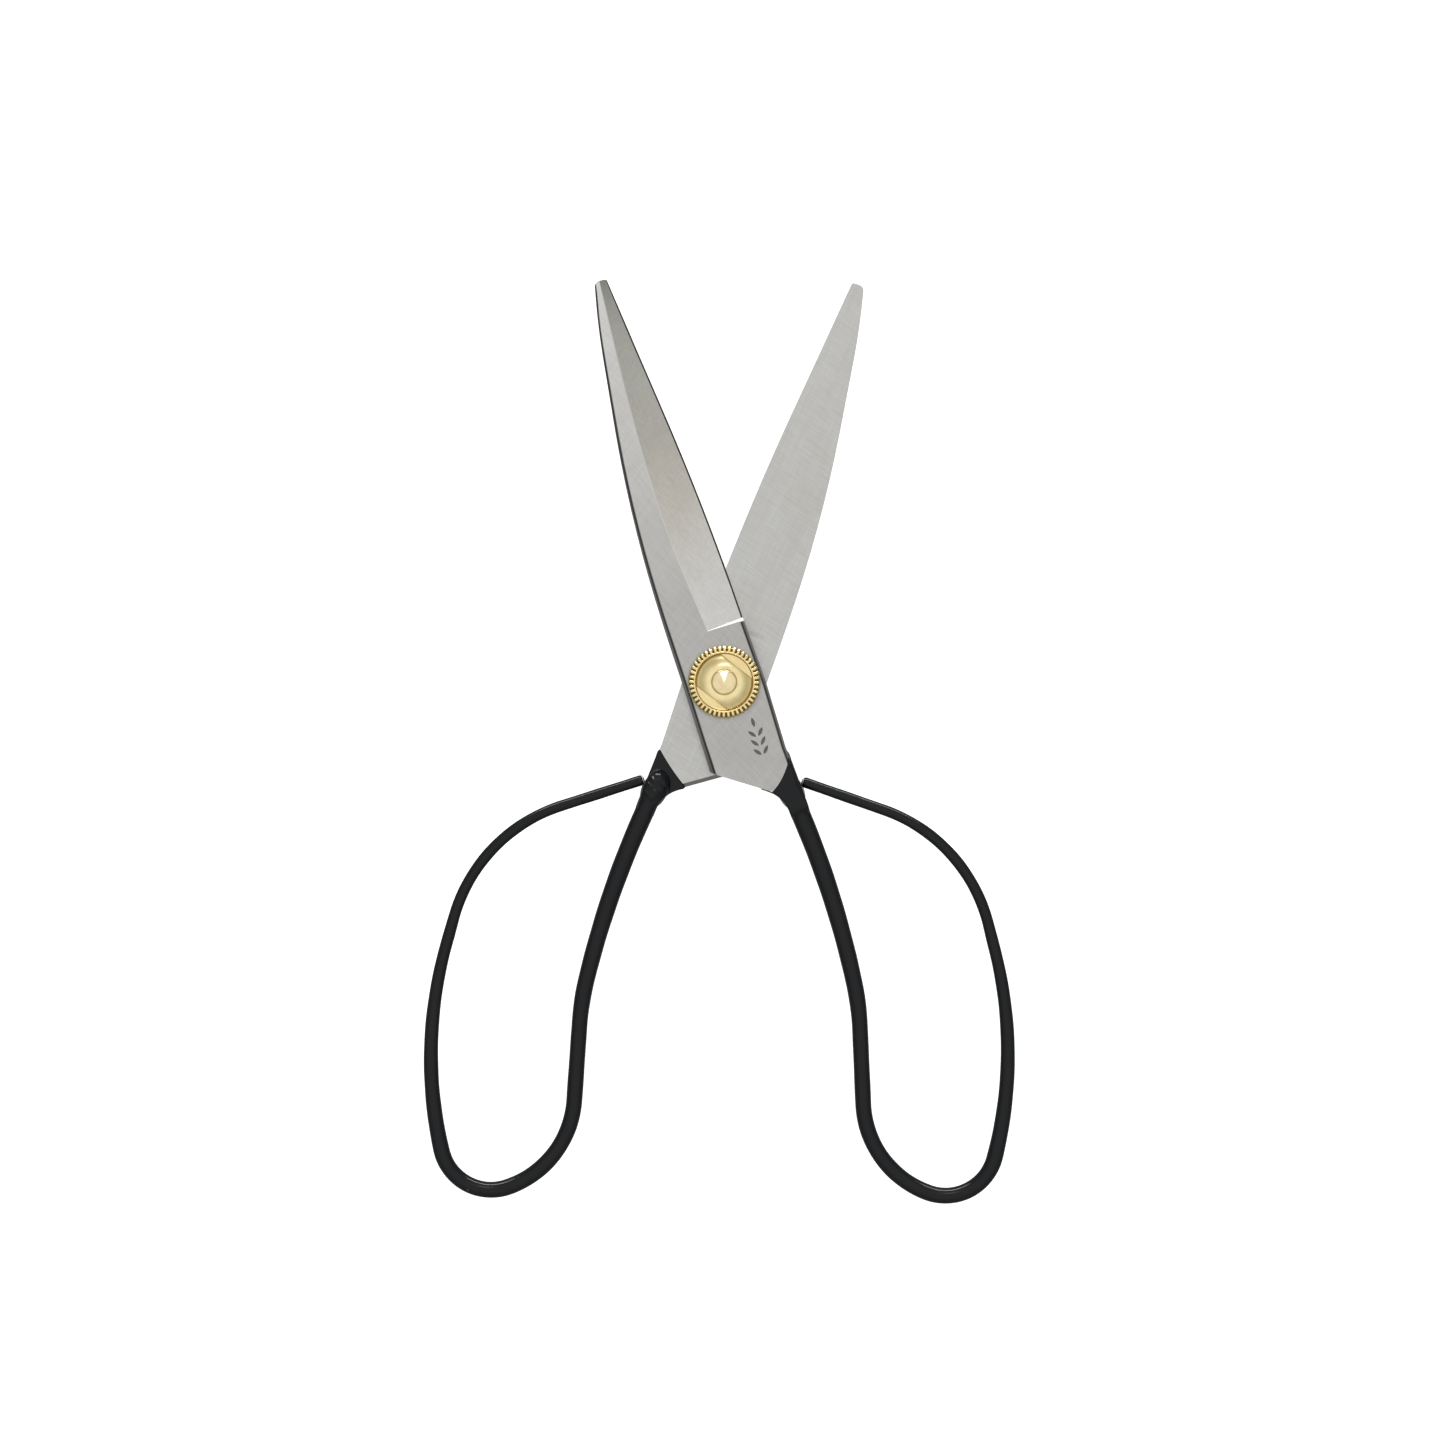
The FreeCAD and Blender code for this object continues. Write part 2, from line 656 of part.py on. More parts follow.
# the rod's diameter is set at these ends of the bend table's rows, counted from the rod's start
ROD_DIAMETERS = {
    0: "rod_neck_dia",
    3: "rod_waist_dia",
    6: "rod_foot_dia",
    8: "rod_bow_dia",
    10: "rod_end_dia",
}


def swept_rod(name, rest, skin, extra):
    """The rod, or the rod with a skin on it, swept along its middle line between circles."""
    wire, stations = handle_line(extra)
    line = shape_feature(f"{name}_line", wire, rest)
    circles = []
    for number, diameter in ROD_DIAMETERS.items():
        point, heading = stations[number]
        circle = document.addObject("Part::Circle", f"{name}_section_{number}")
        circle.setExpression("Radius", f"sizes.{diameter} / 2 + {skin}")
        across = Placement(point, Rotation(Vector(0, 0, 1), way(heading)))
        circle.Placement = rest.multiply(across)
        circles.append(circle)
    sweep = document.addObject("Part::Sweep", name)
    sweep.Sections = circles
    sweep.Spine = (line, [f"Edge{number + 1}" for number in range(len(wire.Edges))])
    sweep.Solid = True
    sweep.Frenet = False
    document.recompute()
    return sweep


# Neck weld and coating

def weld_lump(name, rest, skin):
    """The lump of weld round the rod's upper end: the part of an ellipsoid below the inner face."""
    lump = document.addObject("Part::Ellipsoid", f"{name}_ellipsoid")
    lump.setExpression("Radius1", f"sizes.rod_neck_dia / 2 + sizes.weld_throat + {skin}")
    lump.setExpression("Radius2", f"sizes.weld_length / 2 + {skin}")
    lump.setExpression("Radius3", f"sizes.rod_neck_dia / 2 + sizes.weld_side + {skin}")
    along = way(-size["rod_lean"])
    middle = (Vector(size["rod_start_x"], -size["rod_start_y"], inner_face)
              + along * (size["weld_length"] / 2 - size["weld_lead"]))
    lump.Placement = rest.multiply(Placement(middle, Rotation(Vector(0, 0, 1), -90 + size["rod_lean"])))
    # the lower half is kept by a box whose top is the inner face, twice as wide as the lump is long
    reach = size["weld_length"]
    below = document.addObject("Part::Box", f"{name}_below")
    for property_name in ("Length", "Width", "Height"):
        below.setExpression(property_name, "2 * sizes.weld_length")
    below.Placement = rest.multiply(Placement(middle - Vector(reach, reach, 2 * reach), Rotation()))
    result = document.addObject("Part::Common", name)
    result.Base = lump
    result.Tool = below
    document.recompute()
    return result


def tang_boot(prefix, rest):
    """The coating's skin on the tang: the plate grown by the coat, below the coating's edge."""
    coat = size["coat"]
    edges = []
    for number in range(len(BLADE_CORNERS)):
        first = corner(number)
        last = corner(number + 1)
        if number in BLADE_ARCS:
            radius_name, left = BLADE_ARCS[number]
            middle = arc_between(first, last, size[radius_name], left)
            edges.append(Part.Arc(first, middle, last).toShape())
        else:
            edges.append(Part.LineSegment(first, last).toShape())
    grown = Part.Face(Part.Wire(edges)).makeOffset2D(coat, 2)
    low = inner_face - coat
    grown.translate(Vector(0, 0, low))
    tall = Vector(0, 0, size["blade_plate"] + 2 * coat)
    slab = grown.extrude(tall)

    # above the coating's edge the plate is bare: a straight limit, hollowed by the dip's curve
    outer = Vector(tang_side_x(-size["coat_outer_y"]), -size["coat_outer_y"], low)
    inner = Vector(size["coat_inner_x"], -size["coat_inner_y"], low)
    along = (outer - inner).normalize()
    away = Vector(along.y, -along.x, 0)
    reach = 2 * size["tip_y"]
    limit = Part.makePolygon([
        inner - along * reach, outer + along * reach,
        outer + (along + away) * reach, inner + (away - along) * reach, inner - along * reach,
    ])
    slab = slab.common(Part.Face(limit).extrude(tall))
    radius = size["coat_edge_radius"]
    hollow = arc_between(inner, outer, radius, False)
    dip = Part.makeCylinder(radius, tall.z, hollow - away * radius)
    slab = slab.cut(dip)

    # the outer face follows the tang's slope
    wedge = [Vector(-reach, along_y, up) for along_y, up in tang_slope(coat)]
    sloped = Part.Face(Part.makePolygon(wedge + wedge[:1])).extrude(Vector(2 * reach, 0, 0))
    return shape_feature(f"{prefix}_boot", slab.cut(sloped), rest)


def half(prefix, rest, engraved):
    """One half of the shears, at its rest placement: its blade, rod, weld and coating."""
    rod = swept_rod(f"{prefix}_handle_rod", rest, "0", 0)
    blank = blade_blank(prefix, rest, engraved)
    bevel = shape_feature(f"{prefix}_bevel_tool", bevel_tool(), rest)
    spine = shape_feature(f"{prefix}_spine_tool", spine_tool(), rest)
    ground = cut(f"{prefix}_ground", cut(f"{prefix}_bevelled", blank, bevel), spine)
    blade = cut(f"{prefix}_blade", ground, rod)
    lump = weld_lump(f"{prefix}_lump", rest, "0")
    weld = cut(f"{prefix}_neck_weld", lump, rod)

    tang_skin = join(f"{prefix}_tang_skin", [
        tang_boot(prefix, rest),
        weld_lump(f"{prefix}_coated_lump", rest, "sizes.coat"),
    ])
    tube = swept_rod(f"{prefix}_coated_rod", rest, "sizes.coat", size["coat"])
    # cut by the whole plate and lump: the grooves that the rod leaves in them are the rod's own
    for number, core in enumerate((ground, lump, rod)):
        tang_skin = cut(f"{prefix}_tang_skin_{number}", tang_skin, core)
        tube = cut(f"{prefix}_tube_{number}", tube, core)
    coating = join(f"{prefix}_handle_coating", [tang_skin, tube])
    return [blade, rod, weld, coating]


# Brass pivot: rivet, knurled dial, bow spring and rear washer, all round the pivot axis

def turned(name, profile):
    """A turned piece from a half section of radii and heights."""
    body = document.addObject("PartDesign::Body", name)
    sketch = new_sketch(body, f"{name}_profile", "XZ_Plane")
    draw_polygon(sketch, profile)
    revolve(body, sketch, f"{name}_turning")
    return body


def pivot_rivet():
    shank = size["rivet_dia"] / 2
    tail = shank + size["rivet_tail_lip"]
    head = shank + size["rivet_head_lip"]
    chamfer = size["rivet_tail_chamfer"]
    return turned("pivot_rivet", [
        (0, 0),
        (tail - chamfer, 0),
        (tail, chamfer),
        (tail, size["rivet_tail_height"]),
        (shank, size["rivet_tail_height"]),
        (shank, spring_top),
        (head, spring_top),
        (head, spring_top + size["rivet_head_rim"]),
        (0, spring_top + size["rivet_head_height"]),
    ])


def brass_bore():
    """Radius of the hole through the dial, the spring and the washer."""
    return size["rivet_dia"] / 2 + size["brass_clearance"]


def rear_washer():
    edge = size["washer_dia"] / 2
    chamfer = size["washer_chamfer"]
    low = size["rivet_tail_height"]
    top = low + size["washer_plate"]
    return turned("rear_washer", [
        (brass_bore(), low), (edge - chamfer, low), (edge, low + chamfer),
        (edge, top), (brass_bore(), top),
    ])


def knurled_dial():
    edge = size["dial_dia"] / 2
    top = dial_seat + size["dial_height"]
    floor = dial_seat + size["dial_floor"]
    dish = edge - size["rim_width"]
    bevel = size["rim_bevel"]
    body = turned("knurled_dial", [
        (brass_bore(), dial_seat), (edge, dial_seat), (edge, top - bevel), (edge - bevel, top),
        (dish, top), (dish, floor), (brass_bore(), floor),
    ])
    # each groove is a V, drawn to one depth outside the rim, where it is twice its width
    width = size["knurl_width"]
    depth = size["knurl_depth"]

    notch = new_sketch(body, "notch_sketch", "XY_Plane")
    draw_polygon(notch, [(edge + depth, -width), (edge + depth, width), (edge - depth, 0)])
    side_cut = add_pocket(body, notch, "side_groove", both=True)
    around(body, side_cut, "side_grooves")

    groove = new_sketch(body, "groove_sketch", "YZ_Plane", "sizes.dial_dia / 2 - sizes.knurl_length")
    draw_polygon(groove, [(-width, top + depth), (width, top + depth), (0, top - depth)])
    top_cut = add_pocket(body, groove, "rim_groove", upward=True)
    around(body, top_cut, "rim_grooves")
    return body


def around(body, feature, name):
    """Repeats a groove all round the dial."""
    before = body.Tip.Shape.Volume
    pattern = body.newObject("PartDesign::PolarPattern", name)
    pattern.Originals = [feature]
    pattern.Axis = (origin_plane(body, "Z_Axis"), [""])
    pattern.Angle = 360
    pattern.setExpression("Occurrences", "sizes.knurl_count")
    body.Tip = pattern
    document.recompute()
    if pattern.Shape.Volume >= before:
        raise RuntimeError(f"{name} cuts nothing")


def bow_spring():
    edge = size["dial_dia"] / 2 - size["rim_width"] - size["spring_gap"]
    crown = size["spring_crown_dia"] / 2
    low = dial_seat + size["dial_floor"]
    plate = size["spring_plate"]
    high = low + size["spring_rise"]
    disc = turned("spring_disc", [
        (brass_bore(), high), (crown, high), (edge, low), (edge, low + plate),
        (crown, high + plate), (brass_bore(), high + plate),
    ])
    strip = document.addObject("Part::Box", "spring_strip")
    strip.setExpression("Length", "2 * sizes.dial_dia")
    strip.setExpression("Width", "sizes.spring_width")
    strip.setExpression("Height", "2 * sizes.dial_height")
    turn = Rotation(Vector(0, 0, 1), size["spring_turn"])
    corner_of_strip = Vector(-size["dial_dia"], -size["spring_width"] / 2, low - size["dial_floor"])
    strip.Placement = Placement(turn.multVec(corner_of_strip), turn)
    spring = document.addObject("Part::Common", "bow_spring")
    spring.Base = disc
    spring.Tool = strip
    document.recompute()
    return spring


# The whole object

nodes = half("front", FRONT_REST, True) + half("rear", REAR_REST, False)
nodes += [pivot_rivet(), rear_washer(), knurled_dial(), bow_spring()]
document.recompute()

for item in document.Objects:
    if "Invalid" in item.State or "Error" in item.State:
        raise RuntimeError(f"{item.Label} failed: {item.State}")
for node in nodes:
    if node.Shape.isNull() or not node.Shape.isValid():
        raise RuntimeError(f"{node.Label} is not a valid shape")
    if len(node.Shape.Solids) != 1:
        raise RuntimeError(f"{node.Label} has {len(node.Shape.Solids)} solids")

os.makedirs("parts", exist_ok=True)
for node in nodes:
    node.Shape.exportStep(f"parts/{node.Label}.step")
    print(f"{node.Label}: {node.Shape.Volume / 1000:.2f} cm3")
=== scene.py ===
import json
import math
import bpy
import numpy as np
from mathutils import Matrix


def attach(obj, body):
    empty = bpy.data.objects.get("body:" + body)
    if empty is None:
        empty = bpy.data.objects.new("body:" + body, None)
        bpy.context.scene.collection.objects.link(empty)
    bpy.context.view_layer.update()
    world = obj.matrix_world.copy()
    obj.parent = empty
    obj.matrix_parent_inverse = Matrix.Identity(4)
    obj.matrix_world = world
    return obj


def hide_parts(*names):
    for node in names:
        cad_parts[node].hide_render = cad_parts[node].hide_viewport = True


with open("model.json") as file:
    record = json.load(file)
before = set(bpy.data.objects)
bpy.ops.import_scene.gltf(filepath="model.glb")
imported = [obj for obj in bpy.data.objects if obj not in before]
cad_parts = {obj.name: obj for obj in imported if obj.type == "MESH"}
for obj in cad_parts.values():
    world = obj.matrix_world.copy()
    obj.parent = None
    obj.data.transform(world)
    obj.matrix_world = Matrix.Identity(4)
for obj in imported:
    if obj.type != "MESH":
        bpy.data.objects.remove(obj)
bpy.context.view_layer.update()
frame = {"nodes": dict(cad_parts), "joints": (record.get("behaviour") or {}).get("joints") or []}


# Blades. Two forged and ground steel plates, turned over on each other and crossed at the pivot.
# The flat faces carry crossed grinding lines, the bevel is ground with its own straight lines, and a
# small sprig is engraved on the front neck. They stay as the frame has them, with a ground finish.

# sizes and places are in millimetres: here are a millimetre in metres, how far each half is turned
# from the centre line, and how high the plane lies where the two blades meet
MM = 0.001
HALF_ANGLE = math.radians(17.7)
MEETING_HEIGHT = frame["joints"][0]["pos_m"][2] / MM


def add_node(tree, kind, values, **options):
    """A new shader node: options are its own settings, and values fills its sockets, each from a
    plain value or from another node's output."""
    made = tree.nodes.new(kind)
    for option, choice in options.items():
        setattr(made, option, choice)
    for socket, value in values.items():
        if isinstance(value, bpy.types.NodeSocket):
            tree.links.new(value, made.inputs[socket])
        else:
            made.inputs[socket].default_value = value
    return made


def mix_colours(tree, share, first, second):
    """The colour that lies a share of the way from the first to the second."""
    made = add_node(tree, "ShaderNodeMix", {0: share, 6: first, 7: second}, data_type="RGBA")
    return made.outputs[2]


def calculate(tree, operation, first, second=0.0):
    return add_node(tree, "ShaderNodeMath", {0: first, 1: second}, operation=operation).outputs[0]


def times(tree, first, second):
    return calculate(tree, "MULTIPLY", first, second)


def spread(tree, value, low, high, to_low=0.0, to_high=1.0):
    """A value stretched from one range to another, and held at the ends."""
    made = add_node(tree, "ShaderNodeMapRange",
                    {"Value": value, "From Min": low, "From Max": high,
                     "To Min": to_low, "To Max": to_high})
    return made.outputs[0]


def object_place(tree):
    return add_node(tree, "ShaderNodeTexCoord", {}).outputs["Object"]


def noise(tree, place, scale, detail=2.0, roughness=0.5):
    """Smooth cloudy noise, which stays mostly between 0.3 and 0.7."""
    made = add_node(tree, "ShaderNodeTexNoise",
                    {"Vector": place, "Scale": scale, "Detail": detail, "Roughness": roughness})
    return made.outputs[0]


def start_group(name, inputs, outputs):
    """An empty node group with named number sockets, and its input and output nodes."""
    tree = bpy.data.node_groups.new(name, "ShaderNodeTree")
    for label, value in inputs.items():
        made = tree.interface.new_socket(name=label, in_out="INPUT", socket_type="NodeSocketFloat")
        made.default_value = value
    for label in outputs:
        tree.interface.new_socket(name=label, in_out="OUTPUT", socket_type="NodeSocketFloat")
    return tree, tree.nodes.new("NodeGroupInput"), tree.nodes.new("NodeGroupOutput")


def grinding_lines_group():
    """Straight scratches: noise on coordinates turned by Angle, stretched along by Streak and
    squeezed across by Spacing, both in millimetres. Lines is 0 in a scratch and 1 between."""
    tree, given, result = start_group(
        "grinding_lines", {"Angle": 0.0, "Spacing": 0.3, "Streak": 8.0}, ["Lines"])
    turned = add_node(tree, "ShaderNodeVectorRotate",
                      {"Vector": object_place(tree), "Angle": given.outputs["Angle"]},
                      rotation_type="Z_AXIS")
    apart = add_node(tree, "ShaderNodeSeparateXYZ", {0: turned.outputs[0]})
    along = times(tree, given.outputs["Streak"], MM)
    across = times(tree, given.outputs["Spacing"], MM)
    squeezed = add_node(tree, "ShaderNodeCombineXYZ", {
        0: calculate(tree, "DIVIDE", apart.outputs[0], along),
        1: calculate(tree, "DIVIDE", apart.outputs[1], across),
        2: calculate(tree, "DIVIDE", apart.outputs[2], across),
    })
    scratch = noise(tree, squeezed.outputs[0], 1.0, 3.0, 0.6)
    tree.links.new(spread(tree, scratch, 0.3, 0.7), result.inputs["Lines"])
    return tree


GRINDING_LINES = grinding_lines_group()


def grinding(tree, angle, spacing, streak):
    """Scratches at an angle in degrees, from the shared group."""
    made = add_node(tree, "ShaderNodeGroup",
                    {"Angle": -math.radians(angle), "Spacing": spacing, "Streak": streak},
                    node_tree=GRINDING_LINES)
    return made.outputs["Lines"]


def new_material(name):
    """A new material's node tree, the material, and its one Principled shader."""
    made = bpy.data.materials.new(name)
    made.use_nodes = True
    return made.node_tree, made, made.node_tree.nodes["Principled BSDF"]


def relief(tree, shader, height, strength, depth):
    """Raises the surface by a height, one unit of which stands for a depth in millimetres."""
    bump = add_node(tree, "ShaderNodeBump",
                    {"Strength": strength, "Distance": depth * MM, "Height": height})
    tree.links.new(bump.outputs[0], shader.inputs["Normal"])


# the outer flat lies this high over the meeting plane along the neck, and falls from the heel, where
# the bevel starts, to the tip
OUTER_FACE = 3.56
TIP_OUTER_FACE = 1.76
NECK_END = -20.0
HEEL = 10.8
TIP = 85.0
# how far the line between bevel and chamfer lies from the long axis, at the neck's end and the tip
PARTING = (6.525, 0.75)
# the sprig lies this far each way, across and up, from its middle
SPRIG_MIDDLE = (3.2, -12.5)
SPRIG_REACH = (2.6, 5.5)
HONED_HEIGHT = 0.66

OUTER_SCRATCH = (0.415, 0.410, 0.398, 1)
OUTER_STEEL = (0.515, 0.509, 0.495, 1)
INNER_SCRATCH = (0.480, 0.477, 0.458, 1)
INNER_STEEL = (0.590, 0.586, 0.565, 1)
# painted highlight along the bevel's ridge
RIDGE_HIGHLIGHT = (0.66, 0.655, 0.63, 1)
# painted shade on the honed strip along the cutting edge
HONED_SHADE = (0.085, 0.083, 0.080, 1)
# painted shade, painted light and a painted highlight line on the spine's chamfer
CHAMFER_SHADE = (0.105, 0.103, 0.10, 1)
CHAMFER_PAINTED_LIGHT = (0.36, 0.355, 0.345, 1)
CHAMFER_HIGHLIGHT = (0.66, 0.655, 0.64, 1)
# painted highlight on the bevel's starting step
STEP_HIGHLIGHT = (0.95, 0.95, 0.95, 1)
# painted shade in the sprig's engraved cuts
CUT_SHADE = (0.13, 0.127, 0.122, 1)
STAIN = (0.30, 0.24, 0.15, 1)


def blade_place(tree, rear):
    """A point's place in its own blade's frame, in millimetres: across from the spine side to the
    edge side, up from the pivot to the tip, and out from the meeting plane."""
    side = -1 if rear else 1
    own = add_node(tree, "ShaderNodeVectorRotate",
                   {"Vector": object_place(tree), "Angle": -side * HALF_ANGLE},
                   rotation_type="Z_AXIS")
    apart = add_node(tree, "ShaderNodeSeparateXYZ", {0: own.outputs[0]})
    across = times(tree, apart.outputs[0], side / MM)
    up = times(tree, apart.outputs[1], 1 / MM)
    out = times(tree, apart.outputs[2], side / MM)
    return across, up, calculate(tree, "SUBTRACT", out, side * MEETING_HEIGHT)


def within(tree, value, middle, reach):
    """1 where a value lies within reach of a middle, and 0 elsewhere."""
    return add_node(tree, "ShaderNodeMath", {0: value, 1: middle, 2: reach},
                    operation="COMPARE").outputs[0]


def shade(tree, colour, factor):
    """A colour made brighter or darker by a factor."""
    made = add_node(tree, "ShaderNodeVectorMath", {0: colour, "Scale": factor}, operation="SCALE")
    return made.outputs[0]


def ground_away(tree, across, up, out):
    """How far a point lies below the outer flat, and what that makes of it as masks: the bevel on
    the edge side, the chamfer on the spine side, and the cuts of the sprig."""
    top = spread(tree, up, HEEL, TIP, OUTER_FACE, TIP_OUTER_FACE)
    depth = calculate(tree, "SUBTRACT", top, out)
    lower = spread(tree, depth, 0.005, 0.02)
    # a slanting line up the blade parts the bevel from the chamfer
    parting = calculate(tree, "ADD", across, spread(tree, up, NECK_END, TIP, *PARTING))
    edge_side = times(tree, calculate(tree, "GREATER_THAN", parting, 0.0),
                      calculate(tree, "GREATER_THAN", up, HEEL - 0.1))
    bevel = times(tree, lower, edge_side)
    sprig_box = times(tree, within(tree, across, SPRIG_MIDDLE[0], SPRIG_REACH[0]),
                      within(tree, up, SPRIG_MIDDLE[1], SPRIG_REACH[1]))
    cut = times(tree, lower, sprig_box)
    chamfer = calculate(tree, "SUBTRACT", calculate(tree, "SUBTRACT", lower, bevel), cut)
    return depth, bevel, chamfer, cut


def bevel_colour(tree, plain, up):
    """Plain steel with painted light, painted bright over the heel and duller up the blade, and
    tinted warmer and then greener up the blade.
    """
    warm = mix_colours(tree, spread(tree, up, 18.0, 42.0), (1, 1, 0.995, 1), (1, 0.965, 0.895, 1))
    tint = mix_colours(tree, spread(tree, up, 48.0, 68.0), warm, (0.985, 1, 0.945, 1))
    # painted reflection: the bevel is painted bright over the heel and duller up the blade
    bevel_painted_light = shade(tree, plain, spread(tree, up, 14.0, 52.0, 1.54, 0.94))
    made = add_node(tree, "ShaderNodeVectorMath", {0: bevel_painted_light, 1: tint}, operation="MULTIPLY")
    return made.outputs[0]


def chamfer_painted_light(tree, depth):
    """Painted light and shade on the spine's chamfer: a painted highlight line next to the outer
    flat, then painted shade, and a lighter painted tone further down.
    """
    tone = mix_colours(tree, spread(tree, depth, 0.42, 0.60), CHAMFER_SHADE, CHAMFER_PAINTED_LIGHT)
    return mix_colours(tree, spread(tree, depth, 0.09, 0.14, 1.0, 0.0), tone, CHAMFER_HIGHLIGHT)


def ground_steel(name, turn, rear):
    """Blade steel: two sets of scratches crossing, under faint cloudy stains. The outer flat, its
    sprig, the bevel, the spine's chamfer and the inner face each have their own colour, and much of
    it is painted light and shade: the outer flat is painted brighter up the blade, the bevel
    brighter over the heel, the bevel's ridge and its starting step carry painted highlights, and the
    honed strip, the sprig's cuts and the spine's chamfer carry painted shade, the chamfer with a
    painted highlight line too. turn is how far the grinding is turned on this blade."""
    tree, material, shader = new_material(name)
    fine = grinding(tree, -38 + turn, 0.22, 5.0)
    coarse = grinding(tree, 62 + turn, 0.45, 9.0)
    lines = calculate(tree, "ADD", times(tree, fine, 0.65), times(tree, coarse, 0.35))
    across, up, out = blade_place(tree, rear)
    depth, bevel, chamfer, cut = ground_away(tree, across, up, out)

    plain = mix_colours(tree, lines, OUTER_SCRATCH, OUTER_STEEL)
    # painted light: the outer flat is painted brighter up the blade, towards the tip
    flat = shade(tree, plain, spread(tree, up, 15.0, TIP, 1.0, 1.36))
    colour = mix_colours(tree, bevel, flat, bevel_colour(tree, plain, up))
    # painted highlight: a bright line along the bevel's ridge
    ridge = times(tree, bevel, spread(tree, depth, 0.05, 0.08, 1.0, 0.0))
    colour = mix_colours(tree, times(tree, ridge, 0.8), colour, RIDGE_HIGHLIGHT)
    # painted shade: the honed strip along the edge is painted almost black
    honed = times(tree, bevel, calculate(tree, "LESS_THAN", out, HONED_HEIGHT))
    colour = mix_colours(tree, honed, colour, HONED_SHADE)
    # painted light and shade on the spine's chamfer
    colour = mix_colours(tree, chamfer, colour, chamfer_painted_light(tree, depth))
    # the step leans up the blade as it goes down into the steel
    step_line = calculate(tree, "SUBTRACT", up, times(tree, depth, 0.2))
    step = times(tree, bevel, calculate(tree, "LESS_THAN", step_line, HEEL + 0.06))
    # painted highlight: the bevel's starting step is painted white
    colour = mix_colours(tree, step, colour, STEP_HIGHLIGHT)
    # painted shade: the sprig's cuts are painted dark
    colour = mix_colours(tree, cut, colour, CUT_SHADE)
    inside = mix_colours(tree, lines, INNER_SCRATCH, INNER_STEEL)
    colour = mix_colours(tree, within(tree, out, 0.0, 0.1), colour, inside)

    cloud = noise(tree, object_place(tree), 85.0, 4.0, 0.6)
    stained = spread(tree, cloud, 0.45, 0.68, 0.0, 0.10)
    tree.links.new(mix_colours(tree, stained, colour, STAIN), shader.inputs["Base Color"])
    # the step's painted highlight is not metallic, so that its white shows
    tree.links.new(calculate(tree, "SUBTRACT", 1.0, step), shader.inputs["Metallic"])
    tree.links.new(spread(tree, lines, 0, 1, 0.42, 0.30), shader.inputs["Roughness"])
    relief(tree, shader, lines, 0.25, 0.01)
    return material


def finish_node(node, material):
    """Gives a piece of the frame its material."""
    slots = frame["nodes"][node].data.materials
    slots.clear()
    slots.append(material)


finish_node("front_blade", ground_steel("ground_steel_front", -8, rear=False))
finish_node("rear_blade", ground_steel("ground_steel_rear", 4, rear=True))


# Handle rods and neck welds. Each rod is drawn steel wire, welded to its blade's tang before the
# handle is dipped, so both lie hidden in the coating. The rod keeps its drawing lines, and the weld
# its ripples and straw and blue heat colours.

def drawn_steel():
    tree, material, shader = new_material("drawn_steel")
    lines = grinding(tree, 90, 0.15, 12.0)
    colour = mix_colours(tree, lines, (0.36, 0.35, 0.34, 1), (0.50, 0.49, 0.48, 1))
    tree.links.new(colour, shader.inputs["Base Color"])
    shader.inputs["Metallic"].default_value = 1.0
    tree.links.new(spread(tree, lines, 0, 1, 0.5, 0.36), shader.inputs["Roughness"])
    return material


def weld_steel():
    tree, material, shader = new_material("weld_steel")
    ripple = noise(tree, object_place(tree), 900.0, 3.0)
    colour = mix_colours(tree, ripple, (0.22, 0.20, 0.26, 1), (0.45, 0.37, 0.26, 1))
    tree.links.new(colour, shader.inputs["Base Color"])
    shader.inputs["Metallic"].default_value = 1.0
    shader.inputs["Roughness"].default_value = 0.5
    relief(tree, shader, ripple, 0.6, 0.1)
    return material


rod_finish = drawn_steel()
weld_finish = weld_steel()
for half in ("front", "rear"):
    finish_node(f"{half}_handle_rod", rod_finish)
    finish_node(f"{half}_neck_weld", weld_finish)


# Handle coatings. Each handle is dipped in black vinyl, which wraps the tang, the weld and the
# rod in one skin: a rolled lip across the neck, a flat flank over the tang, a lumpy nose where the
# weld lies under it on the meeting side, and a smooth tube round the bow to its rounded free end.

# the vinyl's thickness, and how far each blade's inner face lies from the meeting plane
COAT = 0.2
INNER_FACE = 0.06

# a half's own frame has the pivot at its origin and the blade's long axis up
ROD_START = np.array([6.24, -23.0])
ROD_LEAN = math.radians(6.3)
BOW_END = np.array([9.288, -23.85])
# rows of the rod's bend table: radius of a bend or length of a run, and its turn in degrees,
# positive towards the centre line; the two runs of no length are solved so that the bow closes
BENDS = ((6.8, 0), (185.0, 11.2), (56.0, 9.6), (15.3, 0), (20.0, -67.4), (10.3, -95.8),
         (85.0, -28.5), (0, 0), (33.0, -56.6), (0, 0))
OPEN_RUNS = (7, 9)
# the steel's diameter at the start of some rows, and at the free end
ROD_DIAMETERS = {0: 3.7, 3: 2.85, 6: 2.9, 8: 1.95, 10: 1.75}


def bow_rows():
    """Where each row of the bend table ends along the rod, and the rod's heading there in radians.
    A bend is as long as its radius times its turn. The two open runs are the weights of their own
    directions that carry the bow from where the other rows leave it to its free end."""
    turns = np.radians([turn for size, turn in BENDS])
    lengths = np.array([size * abs(turn) if turn else size
                        for (size, _), turn in zip(BENDS, turns)])
    headings = np.concatenate([[0], np.cumsum(turns)]) - ROD_LEAN
    fine = np.linspace(0, lengths.sum(), 40001)
    ends = np.concatenate([[0], np.cumsum(lengths)])
    middle = (fine[1:] + fine[:-1]) / 2
    angle = np.interp(middle, ends, headings)
    step = fine[1] - fine[0]
    gap = BOW_END - ROD_START + step * np.array([np.sin(angle).sum(), np.cos(angle).sum()])
    ways = np.array([[-math.sin(headings[row]), -math.cos(headings[row])] for row in OPEN_RUNS])
    lengths[list(OPEN_RUNS)] = np.linalg.solve(ways.T, gap)
    return np.concatenate([[0], np.cumsum(lengths)]), headings


ROW_ENDS, ROW_HEADINGS = bow_rows()


